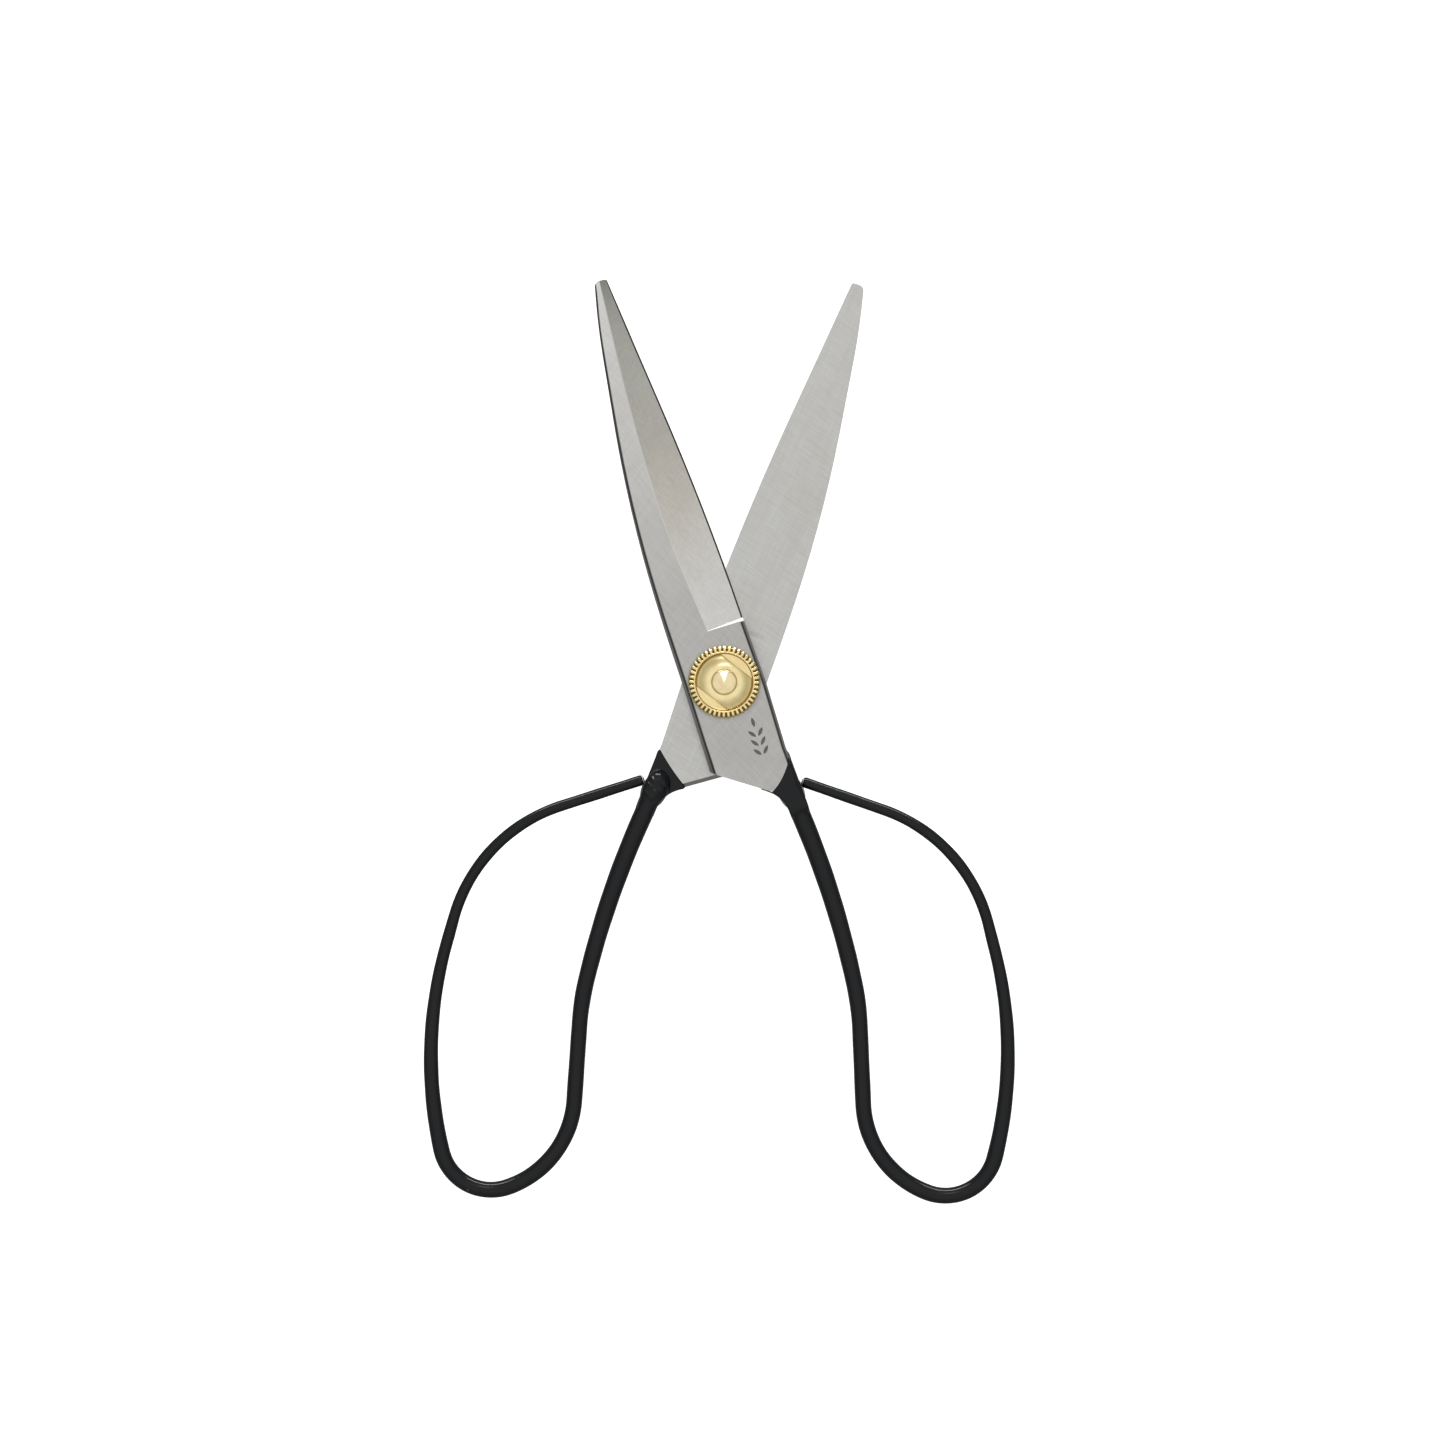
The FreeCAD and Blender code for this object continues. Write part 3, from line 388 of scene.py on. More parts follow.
def rod_line(distance):
    """The rod's middle line at distances along it: points and headings. The heading is a straight
    graph through the rows' ends, and the points are the running sum of its direction. Before the
    rod's start the line runs straight on up the tang."""
    fine = np.linspace(0, ROW_ENDS[-1] + 1, 30001)
    angle = np.interp((fine[1:] + fine[:-1]) / 2, ROW_ENDS, ROW_HEADINGS)
    step = fine[1] - fine[0]
    across = ROD_START[0] - step * np.concatenate([[0], np.cumsum(np.sin(angle))])
    up = ROD_START[1] - step * np.concatenate([[0], np.cumsum(np.cos(angle))])
    before = np.minimum(distance, 0)
    heading = np.interp(distance, ROW_ENDS, ROW_HEADINGS)
    x = np.interp(distance, fine, across) - before * math.sin(ROW_HEADINGS[0])
    y = np.interp(distance, fine, up) - before * math.cos(ROW_HEADINGS[0])
    return x, y, heading


def coated_radius(distance):
    """Radius of the dipped rod: straight tapers between the places where its diameter is set, a
    faint swelling where the vinyl ran, and the coat."""
    places = [ROW_ENDS[row] for row in ROD_DIAMETERS]
    steel = np.interp(distance, places, [size / 2 for size in ROD_DIAMETERS.values()])
    swelling = 0.012 * np.sin(distance * 0.71) + 0.010 * np.sin(distance * 0.29 + 1.3)
    return steel + COAT + swelling


AROUND = 128
SIDE = AROUND // 4


def ring_places():
    """Each column's angle on a circle, and its place on a square from -1 to 1 across and up. The
    square's columns crowd towards its corners as a sine does."""
    column = np.arange(AROUND)
    side = column // SIDE
    share = 2 * (column % SIDE) / SIDE - 1
    angle = np.radians(90 * side + 45 * share)
    slide = np.sin(np.pi / 2 * share)
    across = np.choose(side, [np.ones(AROUND), -slide, -np.ones(AROUND), slide])
    up = np.choose(side, [slide, np.ones(AROUND), -slide, -np.ones(AROUND)])
    return angle, across, up


def soft_max(first, second, blend):
    """The larger of two, with a fillet where they cross."""
    return (first + second + np.sqrt((first - second) ** 2 + blend ** 2)) / 2


def circles(distance, radius):
    """A ring of points round the rod's line at each distance, square to the line."""
    x, y, heading = (part[:, None] for part in rod_line(distance))
    angle = ring_places()[0]
    beside = radius[:, None] * np.cos(angle)
    above = radius[:, None] * np.sin(angle)
    return np.stack([x + beside * np.cos(heading), y - beside * np.sin(heading), above], axis=2)


# the hollow between the blade's lower edge and the rod, as an arc, and the way up that edge
FLARE_CENTRE = np.array([-2.321, -29.59])
FLARE_RADIUS = 7.5
FLARE_START = math.radians(58.5)
FLARE_END = math.radians(8.6)
LOWER_EDGE_WAY = np.array([-0.8305, 0.557])
# the tang's sides go this far outwards for each millimetre down, and its outer side starts here
TANG_LEAN = 0.06
TANG_OUTER = (8.05, -16.0)


def inner_side(length, skin):
    """The tang's inner side, grown by a skin: up the blade's lower edge for a negative length from
    the flare's start, round the hollow flare, and then along the rod's side."""
    radius = FLARE_RADIUS - skin
    turn = np.clip(length / FLARE_RADIUS, 0, FLARE_START - FLARE_END)
    angle = FLARE_START - turn
    before = np.minimum(length, 0)
    after = np.maximum(length - FLARE_RADIUS * (FLARE_START - FLARE_END), 0)
    x = FLARE_CENTRE[0] + radius * np.cos(angle) - before * LOWER_EDGE_WAY[0]
    y = FLARE_CENTRE[1] + radius * np.sin(angle) - before * LOWER_EDGE_WAY[1]
    return x + after * TANG_LEAN, y - after


def outer_side(y, skin):
    """The tang's outer side at a height, grown by a skin."""
    return TANG_OUTER[0] + TANG_LEAN * (TANG_OUTER[1] - y) + skin, y


# the tang's outer flank is ground down between these heights
SLOPE_TOP = -23.6
SLOPE_FOOT = -28.5


def flank_height(y):
    """Top of the steel under the outer flank: flat, then down the tang's slope, then down over its
    end to the rod, averaged over a short stretch so that the vinyl bridges the steps."""
    places = [-31.4, -30.4, -29.6, -29.0, SLOPE_FOOT, SLOPE_TOP]
    heights = [1.85, 1.93, 2.2, 2.52, 2.66, OUTER_FACE]
    shifts = np.linspace(-0.45, 0.45, 7)
    return np.mean([np.interp(y + shift, places, heights) for shift in shifts], axis=0)


# the weld's middle, along the rod from its start, and its half lengths along the rod, beside it and
# down from the meeting plane
WELD_MIDDLE = 2.2
WELD_LENGTH = 4.0
WELD_WIDTH = 2.65
WELD_DEPTH = 2.3


def belly_depth(x, y, skin):
    """Depth of the meeting side below the meeting plane: the largest, with fillets, of the plate's
    flat, the rod's round and the weld's ellipsoid, which is roughened by a few waves."""
    way = np.array([-math.sin(ROW_HEADINGS[0]), -math.cos(ROW_HEADINGS[0])])
    along = (x - ROD_START[0]) * way[0] + (y - ROD_START[1]) * way[1]
    beside = (x - ROD_START[0]) * -way[1] + (y - ROD_START[1]) * way[0]
    radius = coated_radius(along)
    round_part = radius ** 2 - beside ** 2 - np.minimum(along, 0) ** 2
    rod = np.sign(round_part) * np.sqrt(np.abs(round_part))
    reach = 1 - ((along - WELD_MIDDLE) / (WELD_LENGTH + COAT)) ** 2
    reach = reach - (beside / (WELD_WIDTH + COAT)) ** 2
    weld = (WELD_DEPTH + COAT) * np.sign(reach) * np.sqrt(np.abs(reach))
    lumps = 0.10 * np.sin(2.3 * x + 1.7 * y) + 0.08 * np.sin(3.9 * y - 2.1 * x + 0.8)
    rough = np.clip(reach * 2, 0, 1)
    lump = soft_max(rod, weld + lumps * rough, 0.3)
    return soft_max(skin - INNER_FACE, lump, 0.22)


TANG_RINGS = 96
# the tang's rings end as circles at this place along the rod, from its start; those circles are
# spread back over their own stretch, and the rings turn into them from this share of it on
JOIN = 7.6
CIRCLES_REACH = 8.0
ROUNDING_START = 0.86
# the lip rises over this length from just under the steel's surface, and ends in a small bead
LIP = 0.45
LIP_ROOT = 0.06
BEAD = 0.05
# where the lip starts: along the inner side from the flare's start, and the height on the outer
# side, and how far it sags between them, each on the meeting face and then on the outer face
LIP_INNER = (-1.1, 1.39)
LIP_OUTER = (-16.9, -18.3)
LIP_SAG = (0.3, 0.75)
# how far the rings step down from the lip in all, and where the last stands on the inner side
NECK_LENGTH = 11.5
INNER_END = 8.61
# rounding of the coating's corners, and of the one that lies along the blade's spine chamfer
CORNER = 0.42
CHAMFER_CORNER = 1.45


def between(pair, share):
    return pair[0] + (pair[1] - pair[0]) * share


def neck_rings():
    """The coating from its lip to where it is a plain tube. Ring by ring, a rectangle with rounded
    corners round the tang turns into a circle round the rod. A ring's sides step down the tang's
    own sides, so the first ring follows the slanting lip and the last stands square to the rod."""
    _, across, up = ring_places()
    step = (np.arange(TANG_RINGS) / TANG_RINGS)[:, None] ** 1.5
    reach = NECK_LENGTH * step
    rise = np.sqrt(1 - (1 - np.clip(reach / LIP, 0, 1)) ** 2)
    bead = BEAD * np.exp(-((reach - 0.5) / 0.4) ** 2)
    skin = (COAT + LIP_ROOT) * rise - LIP_ROOT + bead
    share_up = (up[None, :] + 1) / 2

    inner_x, inner_y = inner_side(between(LIP_INNER, share_up) * (1 - step) + INNER_END * step, skin)
    outer_end = rod_line(JOIN)[1] + coated_radius(JOIN) * math.sin(ROD_LEAN)
    outer_x, outer_y = outer_side(between(LIP_OUTER, share_up) * (1 - step) + outer_end * step, skin)

    half_width = np.hypot(outer_x - inner_x, outer_y - inner_y) / 2
    middle_y = (inner_y + outer_y) / 2
    half_height = (flank_height(middle_y) + 2 * skin - INNER_FACE) / 2
    chamfered = (across[None, :] > 0) & (up[None, :] > 0)
    shrinking = np.interp(outer_y, [SLOPE_FOOT, SLOPE_TOP], [CORNER, CHAMFER_CORNER])
    corner = np.where(chamfered, shrinking, CORNER)
    corner = np.minimum(corner, 0.9 * np.minimum(half_height, half_width))
    wide = np.abs(across)[None, :] * half_width
    tall = np.abs(up)[None, :] * half_height
    at_corner = (wide > half_width - corner) & (tall > half_height - corner)
    on_flat = (np.abs(up) >= np.abs(across))[None, :]
    lean = np.where(on_flat, (half_width - wide) / corner, -(half_height - tall) / corner)
    bend = np.pi / 4 * (1 + np.clip(lean, -1, 1))
    wide = np.where(at_corner, half_width - corner + corner * np.cos(bend), wide)
    tall = np.where(at_corner, half_height - corner + corner * np.sin(bend), tall)
    place_across = np.sign(across)[None, :] * wide / half_width
    share_up = (np.sign(up)[None, :] * tall / half_height + 1) / 2

    share_across = (place_across + 1) / 2
    sag = between(LIP_SAG, share_up) * (1 - place_across ** 2) * (1 - step) ** 2
    x = inner_x + (outer_x - inner_x) * share_across + sag * math.sin(ROD_LEAN)
    y = inner_y + (outer_y - inner_y) * share_across - sag * math.cos(ROD_LEAN)
    top = flank_height(y) + skin
    bottom = -belly_depth(x, y, skin)
    z = bottom + (top - bottom) * share_up

    along = step[:, 0]
    rounds = circles(JOIN - CIRCLES_REACH * (1 - along), coated_radius(JOIN * along))
    turned = np.clip((step - ROUNDING_START) / (1 - ROUNDING_START), 0, 1)
    turned = turned ** 2 * (3 - 2 * turned)
    rings = np.stack([x, y, z], axis=2)
    return rings + (rounds - rings) * turned[:, :, None]


TUBE_STEP = 0.62
NOSE = 0.95


def tube_rings():
    """The coating round the bow: circles square to the rod's line, and at the free end a blunt
    nose, where the radius falls as a power of the cosine while its place moves as the sine."""
    nose_start = ROW_ENDS[-1] + COAT - NOSE
    straight = np.linspace(JOIN, nose_start, int((nose_start - JOIN) / TUBE_STEP))
    bend = np.linspace(0, np.pi / 2, 12)[1:-1]
    distance = np.concatenate([straight, nose_start + NOSE * np.sin(bend)])
    taper = np.concatenate([np.ones(len(straight)), np.cos(bend) ** 0.8])
    return circles(distance, coated_radius(distance) * taper)


def build_piece(name, grid, closed):
    """A mesh from a grid of points in millimetres: rows of rings. The rings join up in themselves.
    The rows join up too when closed is True, as round a bore; otherwise a fan to its middle closes
    each end ring. The faces are turned so that the mesh holds a positive volume."""
    rows, columns = grid.shape[:2]
    numbers = np.arange(rows * columns).reshape(rows, columns)
    if closed:
        numbers = np.concatenate([numbers, numbers[:1]])
    right = np.roll(numbers, -1, axis=1)
    faces = np.stack([numbers[:-1], right[:-1], right[1:], numbers[1:]], axis=2).reshape(-1, 4)
    points = grid.reshape(-1, 3)
    fans = np.empty((0, 3), int)
    if not closed:
        first = np.stack([right[0], numbers[0], np.full(columns, len(points))], axis=1)
        last = np.stack([numbers[-1], right[-1], np.full(columns, len(points) + 1)], axis=1)
        points = np.concatenate([points, [grid[0].mean(axis=0), grid[-1].mean(axis=0)]])
        fans = np.concatenate([first, last])
    a, b, c, d = (points[faces[:, corner]] for corner in range(4))
    volume = np.einsum("ij,ij->i", a, np.cross(b, c)).sum()
    volume += np.einsum("ij,ij->i", a, np.cross(c, d)).sum()
    if volume < 0:
        faces = faces[:, ::-1]
        fans = fans[:, ::-1]
    mesh = bpy.data.meshes.new(name)
    mesh.from_pydata((points * MM).tolist(), [], faces.tolist() + fans.tolist())
    mesh.shade_smooth()
    mesh.update()
    piece = bpy.data.objects.new(name, mesh)
    bpy.context.scene.collection.objects.link(piece)
    return piece


def place_half(grid, rear):
    """Puts a half's own grid where it lies in the whole object: the rear one is turned over about
    its long axis, each is turned about the pivot, and both are lifted to the meeting plane."""
    over = np.array([-1, 1, -1]) if rear else np.array([1, 1, 1])
    angle = -HALF_ANGLE if rear else HALF_ANGLE
    x, y, z = np.moveaxis(grid * over, 2, 0)
    return np.stack([x * math.cos(angle) - y * math.sin(angle),
                     x * math.sin(angle) + y * math.cos(angle),
                     z + MEETING_HEIGHT], axis=2)


def black_vinyl():
    """Dipped vinyl: almost black, satin, with an orange-peel ripple, and rare pinholes and specks
    of dust set in the skin."""
    tree, material, shader = new_material("black_vinyl")
    place = object_place(tree)
    peel = noise(tree, place, 700.0)
    cloud = noise(tree, place, 120.0, 3.0, 0.6)
    cells = add_node(tree, "ShaderNodeTexVoronoi", {"Vector": place, "Scale": 330.0})
    specks = spread(tree, cells.outputs["Distance"], 0.06, 0.11, 1.0, 0.0)
    specks = times(tree, specks, spread(tree, cloud, 0.60, 0.62))
    base = mix_colours(tree, spread(tree, cloud, 0.3, 0.7),
                       (0.0035, 0.0048, 0.0055, 1), (0.0062, 0.0060, 0.0072, 1))
    colour = mix_colours(tree, times(tree, specks, 0.6), base, (0.10, 0.11, 0.11, 1))
    tree.links.new(colour, shader.inputs["Base Color"])
    tree.links.new(spread(tree, peel, 0.3, 0.7, 0.15, 0.22), shader.inputs["Roughness"])
    shader.inputs["IOR"].default_value = 1.32
    relief(tree, shader, calculate(tree, "ADD", peel, times(tree, specks, -0.8)), 0.30, 0.05)
    return material


vinyl = black_vinyl()
coating_grid = np.concatenate([neck_rings(), tube_rings()])
for half, rear in (("front", False), ("rear", True)):
    coating = build_piece(f"{half}_dipped_coating", place_half(coating_grid, rear), closed=False)
    coating.data.materials.append(vinyl)
    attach(coating, f"{half}_half")
    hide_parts(f"{half}_handle_coating")


# Rear washer. A plain brass washer, turned, that the rivet's tail is hammered down on. It lies
# against the rear blade, with its two edges rounded.

WASHER_RADIUS = 5.5
WASHER_BOTTOM = 0.9
WASHER_TOP = 1.7
BORE = 2.05
# the columns that each turned shape has, sixteen to a groove of the dial
COLUMNS = 704
TURN = np.linspace(0, 2 * np.pi, COLUMNS, endpoint=False)[None, :]


def lathe_grid(radii, heights):
    """A turned shape: every row is one point of its section carried round the pivot axis. radii and
    heights hold one number for each row, or a number for each column of it too where the shape
    changes round the axis."""
    radii = np.asarray(radii, float)
    heights = np.asarray(heights, float)
    radii = radii.reshape(len(radii), -1) + 0 * TURN
    heights = heights.reshape(len(heights), -1) + 0 * TURN
    return np.stack([radii * np.cos(TURN), radii * np.sin(TURN), heights], axis=2)


def rounded_section(corners, rounding, steps=5):
    """A closed section with every corner rounded: each corner is a quadratic curve that starts and
    ends its own rounding's length before and after it."""
    corners = np.array(corners, float)
    before = np.roll(corners, 1, axis=0) - corners
    after = np.roll(corners, -1, axis=0) - corners
    size = np.array(rounding, float)[:, None] * np.ones((len(corners), 1))
    first = corners + before / np.linalg.norm(before, axis=1)[:, None] * size
    last = corners + after / np.linalg.norm(after, axis=1)[:, None] * size
    share = np.linspace(0, 1, steps)[None, :, None]
    curve = ((1 - share) ** 2 * first[:, None] + 2 * share * (1 - share) * corners[:, None]
             + share ** 2 * last[:, None])
    return curve.reshape(-1, 2)


def off_axis(tree):
    """How far a point lies from the pivot axis, in metres, and its three coordinates."""
    apart = add_node(tree, "ShaderNodeSeparateXYZ", {0: object_place(tree)})
    flat = add_node(tree, "ShaderNodeCombineXYZ", {0: apart.outputs[0], 1: apart.outputs[1]})
    radius = add_node(tree, "ShaderNodeVectorMath", {0: flat.outputs[0]}, operation="LENGTH")
    return radius.outputs["Value"], apart.outputs


def turning_marks_group():
    """Rings left by a turning tool: noise on the distance from the pivot axis, squeezed by Spacing
    in millimetres, with a little wander round the axis. Rings is 0 in a mark and 1 between."""
    tree, given, result = start_group("turning_marks", {"Spacing": 0.12, "Wander": 0.4}, ["Rings"])
    radius, place = off_axis(tree)
    pitch = times(tree, given.outputs["Spacing"], MM)
    rings = add_node(tree, "ShaderNodeCombineXYZ", {
        0: calculate(tree, "DIVIDE", radius, pitch),
        1: times(tree, place[0], times(tree, given.outputs["Wander"], 1 / MM)),
        2: calculate(tree, "DIVIDE", place[2], pitch),
    })
    marks = noise(tree, rings.outputs[0], 1.0)
    tree.links.new(spread(tree, marks, 0.3, 0.7), result.inputs["Rings"])
    return tree


TURNING_MARKS = turning_marks_group()
TARNISH = (0.60, 0.43, 0.16, 1)
# dark brown for painted shade on the brass: round the rivet's head, down the spring's ends and in
# the knurl's grooves
BROWN_SHADE = (0.16, 0.105, 0.022, 1)


def turned_brass(name, spacing, bright, dull, rough, darken=None):
    """Brass fresh from the lathe: rings from the tool, and a slight tarnish in clouds. bright and
    dull are its two colours, rough the roughness of its smooth and its marked parts. darken, if
    given, makes the share of a dark brown painted shade from how far a point lies off the axis, in
    millimetres, and from its three coordinates."""
    tree, material, shader = new_material(name)
    marks = add_node(tree, "ShaderNodeGroup", {"Spacing": spacing}, node_tree=TURNING_MARKS)
    rings = marks.outputs["Rings"]
    tarnish = spread(tree, noise(tree, object_place(tree), 450.0, 4.0), 0.45, 0.75, 0.0, 0.35)
    colour = mix_colours(tree, tarnish, mix_colours(tree, rings, dull, bright), TARNISH)
    # painted shade in dark brown, where darken says
    if darken:
        radius, place = off_axis(tree)
        share = darken(tree, times(tree, radius, 1 / MM), place)
        colour = mix_colours(tree, share, colour, BROWN_SHADE)
    tree.links.new(colour, shader.inputs["Base Color"])
    shader.inputs["Metallic"].default_value = 1.0
    tree.links.new(spread(tree, rings, 0, 1, rough[1], rough[0]), shader.inputs["Roughness"])
    relief(tree, shader, rings, 0.2, 0.02)
    return material


def finish_brass(piece, node, material):
    """Puts a brass piece on the pivot in place of its frame node."""
    piece.data.materials.append(material)
    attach(piece, "pivot_stack")
    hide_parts(node)


washer_brass = turned_brass("washer_brass", 0.14, bright=(0.86, 0.66, 0.30, 1),
                            dull=(0.72, 0.52, 0.22, 1), rough=(0.24, 0.36))
washer_section = rounded_section(
    [(BORE, WASHER_BOTTOM), (WASHER_RADIUS, WASHER_BOTTOM), (WASHER_RADIUS, WASHER_TOP),
     (BORE, WASHER_TOP)], [0.1, 0.3, 0.12, 0.1])
washer = build_piece("turned_washer", lathe_grid(*washer_section.T), closed=True)
finish_brass(washer, "rear_washer", washer_brass)


# Knurled dial. A turned brass dish that sets how tight the blades run: a flat floor, a smooth lip,
# and a rim cut with forty-four V grooves over its top and down its side, for the fingers to turn.

DIAL_SEAT = MEETING_HEIGHT + OUTER_FACE + 0.03
DIAL_RADIUS = 7.37
DIAL_TOP = DIAL_SEAT + 2.0
DIAL_FLOOR = DIAL_SEAT + 0.6
DISH_RADIUS = 5.8
KNURL_START = 6.55
GROOVES = 44
GROOVE_DEPTH = 0.36
# the share of a groove's pitch that its V takes up, and how much of the V's depth is cut
GROOVE_WIDTH = 0.62
GROOVE_CUT = 0.93


def groove_profile():
    """How deep the knurl is round the dial, from 0 on a ridge to 1 in a groove: a V whose two
    sides fall in straight lines from the edges of the flat ridge to a narrow flat bottom."""
    turn = np.linspace(0, GROOVES, COLUMNS, endpoint=False) % 1
    from_middle = np.abs(turn - 0.5) * 2
    return np.clip(1 - from_middle / GROOVE_WIDTH, 0, GROOVE_CUT)


def dial_grid():
    """The dial's section carried round, with the knurl taken off the rim: inwards on its side,
    downwards on its top, and half each way on the bevel between. Each point of the outline is a
    radius, a height and the share of the knurl's depth that is cut there."""
    outline = [
        (BORE, DIAL_SEAT, 0), (6.9, DIAL_SEAT, 0), (7.15, DIAL_SEAT + 0.04, 0.5),
        (7.30, DIAL_SEAT + 0.16, 1), (DIAL_RADIUS, DIAL_SEAT + 0.34, 1),
        (DIAL_RADIUS, DIAL_SEAT + 0.7, 1), (DIAL_RADIUS, DIAL_SEAT + 1.1, 1),
        (DIAL_RADIUS, DIAL_TOP - 0.58, 1), (7.27, DIAL_TOP - 0.40, 1), (7.10, DIAL_TOP - 0.22, 1),
        (6.92, DIAL_TOP - 0.08, 1), (6.74, DIAL_TOP - 0.01, 1), (KNURL_START, DIAL_TOP, 1),
        (6.36, DIAL_TOP, 1), (6.26, DIAL_TOP, 0.9), (6.18, DIAL_TOP, 0.35), (6.13, DIAL_TOP, 0),
        (6.02, DIAL_TOP + 0.02, 0), (5.93, DIAL_TOP, 0), (5.86, DIAL_TOP - 0.05, 0),
        (5.81, DIAL_TOP - 0.14, 0), (DISH_RADIUS, DIAL_TOP - 0.5, 0),
        (DISH_RADIUS, DIAL_FLOOR + 0.2, 0), (DISH_RADIUS - 0.05, DIAL_FLOOR + 0.07, 0),
        (DISH_RADIUS - 0.2, DIAL_FLOOR, 0), (4.0, DIAL_FLOOR, 0), (BORE, DIAL_FLOOR, 0),
    ]
    radius, height, cut = np.array(outline).T
    inwards = np.clip((radius - KNURL_START) / (DIAL_RADIUS - KNURL_START), 0, 1)
    downwards = np.clip(1 - inwards ** 2, 0, 1) * (height > DIAL_SEAT + 1)
    knurl = GROOVE_DEPTH * groove_profile()[None, :] * cut[:, None]
    return lathe_grid(radius[:, None] - knurl * inwards[:, None],
                      height[:, None] - knurl * downwards[:, None])


def knurl_groove_shade(tree, radius, place):
    """Painted shade in the knurl: most in the middle of a groove, told by the angle round the dial,
    and none on the smooth lip."""
    angle = calculate(tree, "ARCTAN2", place[1], place[0])
    turn = calculate(tree, "FRACT", times(tree, angle, GROOVES / (2 * math.pi)))
    off_middle = calculate(tree, "ABSOLUTE", calculate(tree, "SUBTRACT", turn, 0.5))
    # painted shade, darkest in the middle of each groove
    groove = spread(tree, off_middle, 0.06, 0.30, 0.95, 0.0)
    return times(tree, groove, spread(tree, radius, 6.08, 6.25))


dial_brass = turned_brass("dial_brass", 0.10, bright=(0.95, 0.79, 0.42, 1),
                          dull=(0.84, 0.66, 0.32, 1), rough=(0.18, 0.30), darken=knurl_groove_shade)
dial = build_piece("knurled_dial_rim", dial_grid(), closed=True)
finish_brass(dial, "knurled_dial", dial_brass)


# Bow spring. A stamped strip of springy brass sheet with two straight cut sides and two round ends.
# It is bowed, so that its ends press on the dial's floor and its crown on the rivet's head.

SPRING_RADIUS = 5.55
SPRING_PLATE = 0.45
# the sheet is level out to the crown's radius, and from there falls by its rise to the dial's floor
SPRING_RISE = 0.8
SPRING_CROWN = 2.96
SPRING_HALF_WIDTH = 3.95
SPRING_TURN = math.radians(-37)
SPRING_TOP = DIAL_FLOOR + SPRING_RISE + SPRING_PLATE
HEAD_RADIUS = 2.45


def spring_grid():
    """Rows of rings from the bore out over the top, down the cut edge and back underneath. The
    outline is a circle clipped by the two cut sides, and the sheet falls from its crown to its
    ends as a smooth step. Its edge is rounded by easing the last rows down."""
    cut = SPRING_HALF_WIDTH / np.maximum(np.abs(np.sin(TURN - SPRING_TURN)), 1e-6)
    outline = np.minimum(SPRING_RADIUS, cut)
    share = np.concatenate([np.linspace(0, 0.96, 26), [0.98, 0.992, 1.0]])
    ease = np.concatenate([np.zeros(26), [0.02, 0.05, 0.10]])
    share = np.concatenate([share, share[::-1]])[:, None]
    radius = BORE + (outline - BORE) * share
    fall = np.clip((radius - SPRING_CROWN) / (SPRING_RADIUS - SPRING_CROWN), 0, 1)
    drop = SPRING_RISE * fall ** 2 * (3 - 2 * fall)
    lift = np.concatenate([-ease, -SPRING_PLATE + ease[::-1]])[:, None]
    return lathe_grid(radius, SPRING_TOP - drop + lift)


def spring_painted_shade(tree, radius, place):
    """Painted shade: a dark ring round the rivet's head, where it stands on the spring, and a duller
    painted shade down the spring's two sloping ends, darker lower down."""
    # painted shadow: a dark ring round the rivet's head
    ring = spread(tree, radius, HEAD_RADIUS + 0.08, HEAD_RADIUS + 0.30, 0.75, 0.0)
    height = times(tree, place[2], 1 / MM)
    # painted shade down the spring's sloping ends, darker as they fall
    slope = spread(tree, height, SPRING_TOP - 0.62, SPRING_TOP - 0.12, 0.42, 0.0)
    return calculate(tree, "MAXIMUM", ring, slope)


spring_brass = turned_brass("spring_brass", 0.16, bright=(0.96, 0.82, 0.46, 1),
                            dull=(0.90, 0.73, 0.38, 1), rough=(0.20, 0.30), darken=spring_painted_shade)
spring = build_piece("bowed_spring", spring_grid(), closed=True)
finish_brass(spring, "bow_spring", spring_brass)


# Rivet. A brass pin whose pointed head was peened by hand: seven hammer flats meet near its tip. Its
# wide tail was hammered flat on the rear washer, and is what the snips lie on.

SHANK_RADIUS = 2.0
TAIL_RADIUS = 3.1
# the head: the height of its cone at the rim and at the tip, how far the cone is set down, how much
# of its tip is cut off, and how far its rim is rounded down
HEAD_RIM = 0.35
HEAD_HEIGHT = 1.1
HEAD_SET = 0.05
TIP_FLAT = 0.01
SHOULDER = 0.06
# radius of the small ring that is closed in the middle of the tail and at the tip of the head
TIP_RING = 0.03
# the ways that the hammer flats face
HAMMER_FLATS = np.radians([10, 52, 92, 140, 196, 248, 306])


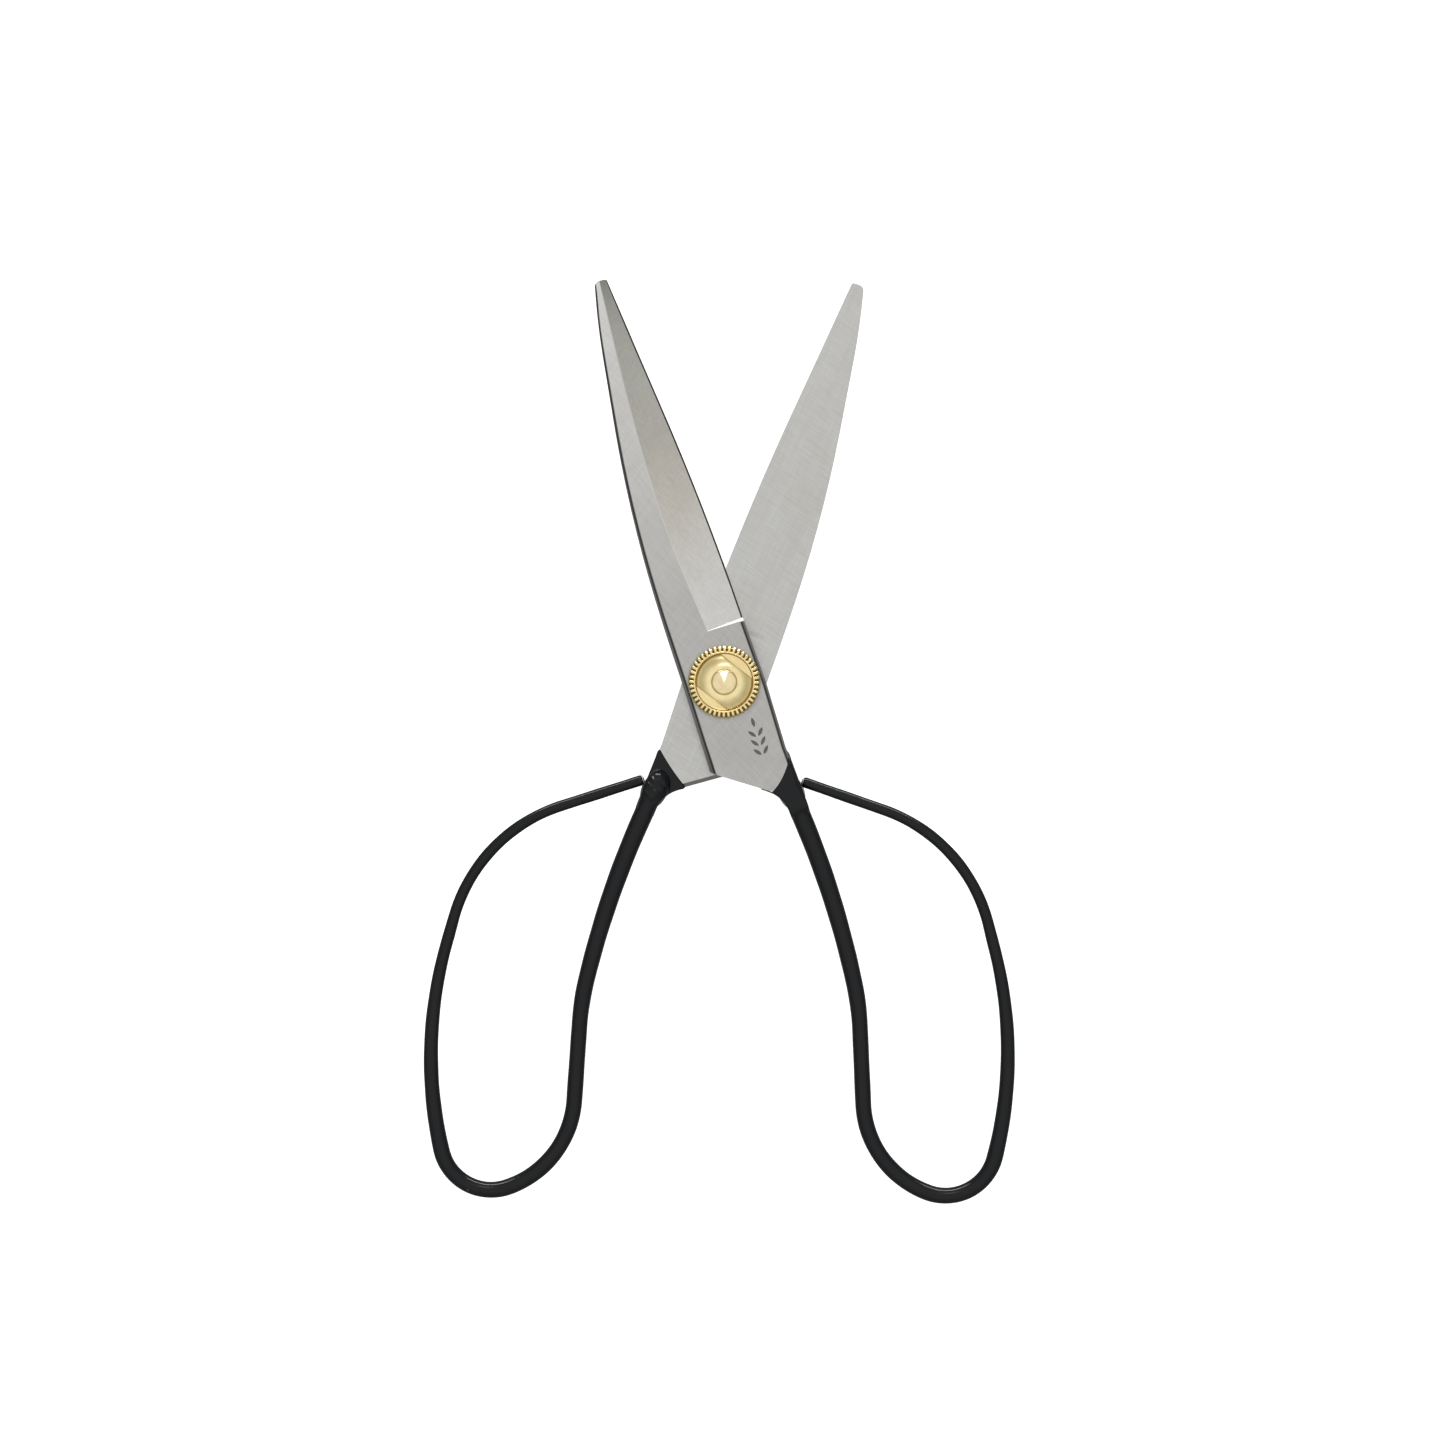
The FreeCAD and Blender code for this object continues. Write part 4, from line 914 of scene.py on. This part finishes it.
def rivet_grid():
    """The rivet's section carried round. The head's cone is flattened: its height at a place falls
    with the farthest reach of that place along any of the flats' directions. Its tip is cut level,
    and its rim is rounded off by a bell curve."""
    lower = np.array([
        (TIP_RING, 0), (2.8, 0), (2.95, 0.05), (3.07, 0.16), (TAIL_RADIUS, 0.32),
        (TAIL_RADIUS, 0.8), (3.04, WASHER_BOTTOM), (SHANK_RADIUS, WASHER_BOTTOM),
        (SHANK_RADIUS, WASHER_BOTTOM + 0.05), (SHANK_RADIUS, SPRING_TOP - 0.05),
        (SHANK_RADIUS, SPRING_TOP), (2.38, SPRING_TOP), (HEAD_RADIUS, SPRING_TOP + 0.08),
        (HEAD_RADIUS, SPRING_TOP + 0.24),
    ])
    radius = np.linspace(HEAD_RADIUS - 0.06, TIP_RING, 26)[:, None]
    reach = np.max(np.cos(TURN[None] - HAMMER_FLATS[:, None, None]), axis=0)
    slope = (HEAD_HEIGHT - HEAD_RIM) / HEAD_RADIUS
    flats = HEAD_HEIGHT - slope * radius * (0.45 + 0.55 * reach)
    head = SPRING_TOP - HEAD_SET + np.minimum(flats, HEAD_HEIGHT - TIP_FLAT)
    shoulder = SHOULDER * np.exp(-((HEAD_RADIUS - radius) / 0.16) ** 2)
    radii = np.concatenate([lower[:, :1], radius])
    heights = np.concatenate([lower[:, 1:] + 0 * TURN, head - shoulder])
    return lathe_grid(radii, heights)


rivet_brass = turned_brass("rivet_brass", 0.22, bright=(0.96, 0.83, 0.50, 1),
                           dull=(0.88, 0.71, 0.39, 1), rough=(0.16, 0.26))
rivet = build_piece("peened_rivet", rivet_grid(), closed=False)
finish_brass(rivet, "pivot_rivet", rivet_brass)


# Studio. A plain white table under a soft sky, with a wide low softbox behind the snips and a small
# high one. The camera looks straight down.

def table_white():
    """The table is lit from within, so that it is clean white, but what the snips mirror of it is
    a soft grey."""
    tree, material, shader = new_material("table_white")
    grain = noise(tree, object_place(tree), 40.0)
    colour = mix_colours(tree, grain, (0.86, 0.86, 0.86, 1), (0.90, 0.90, 0.90, 1))
    tree.links.new(colour, shader.inputs["Base Color"])
    shader.inputs["Roughness"].default_value = 0.9
    shader.inputs["Emission Color"].default_value = (1, 1, 1, 1)
    shader.inputs["Emission Strength"].default_value = 0.75
    mirrored = add_node(tree, "ShaderNodeEmission", {"Color": (1, 1, 1, 1), "Strength": 0.30})
    path = tree.nodes.new("ShaderNodeLightPath")
    either = add_node(tree, "ShaderNodeMixShader", {
        0: path.outputs["Is Glossy Ray"], 1: shader.outputs[0], 2: mirrored.outputs[0]})
    tree.links.new(either.outputs[0], tree.nodes["Material Output"].inputs["Surface"])
    return material


# half the table's width, in metres as all of the studio is
TABLE = 3
table_mesh = bpy.data.meshes.new("table_top")
table_corners = [(-TABLE, -TABLE, 0), (TABLE, -TABLE, 0), (TABLE, TABLE, 0), (-TABLE, TABLE, 0)]
table_mesh.from_pydata(table_corners, [], [(0, 1, 2, 3)])
table_top = bpy.data.objects.new("table_top", table_mesh)
bpy.context.scene.collection.objects.link(table_top)
table_mesh.materials.append(table_white())

sky = bpy.data.worlds.new("studio_sky")
sky.use_nodes = True
sky_way = add_node(sky.node_tree, "ShaderNodeTexCoord", {}).outputs["Generated"]
sky_height = add_node(sky.node_tree, "ShaderNodeSeparateXYZ", {0: sky_way}).outputs[2]
# dim at the horizon and bright overhead
sky_light = spread(sky.node_tree, sky_height, 0.1, 0.9, 0.34, 0.95)
sky.node_tree.links.new(sky_light, sky.node_tree.nodes["Background"].inputs["Strength"])
sky.node_tree.nodes["Background"].inputs["Color"].default_value = (1.0, 1.0, 1.0, 1)
bpy.context.scene.world = sky
bpy.context.scene.view_settings.view_transform = "Standard"


def softbox(name, place, width, height, power):
    """A rectangular light that faces the snips."""
    data = bpy.data.lights.new(name, "AREA")
    data.shape = "RECTANGLE"
    data.size = width
    data.size_y = height
    data.energy = power
    box = bpy.data.objects.new(name, data)
    way = -np.array(place)
    box.location = place
    box.rotation_euler = (math.acos(-way[2] / np.linalg.norm(way)), 0,
                          math.atan2(way[1], way[0]) - math.pi / 2)
    bpy.context.scene.collection.objects.link(box)


softbox("softbox_back", (0.0, 1.3, 0.14), width=1.6, height=0.2, power=18)
softbox("softbox_high", (0.0, 0.80, 1.08), width=0.34, height=0.24, power=1.0)

# the camera's height over the meeting plane, how wide it sees there, and how far it stands off the
# pivot and is turned
CAMERA_HEIGHT = 1.0
SEEN_WIDTH = 0.2926
CAMERA_OFFSET = (-0.24 * MM, -8.15 * MM)
CAMERA_TURN = math.radians(0.74)
SENSOR = 36
camera_data = bpy.data.cameras.new("camera")
camera_data.sensor_width = SENSOR
camera_data.lens = SENSOR * CAMERA_HEIGHT / SEEN_WIDTH
camera_data.clip_start = 0.01
camera = bpy.data.objects.new("camera", camera_data)
camera.location = (*CAMERA_OFFSET, CAMERA_HEIGHT + MEETING_HEIGHT * MM)
camera.rotation_euler = (0, 0, CAMERA_TURN)
bpy.context.scene.collection.objects.link(camera)
bpy.context.scene.camera = camera
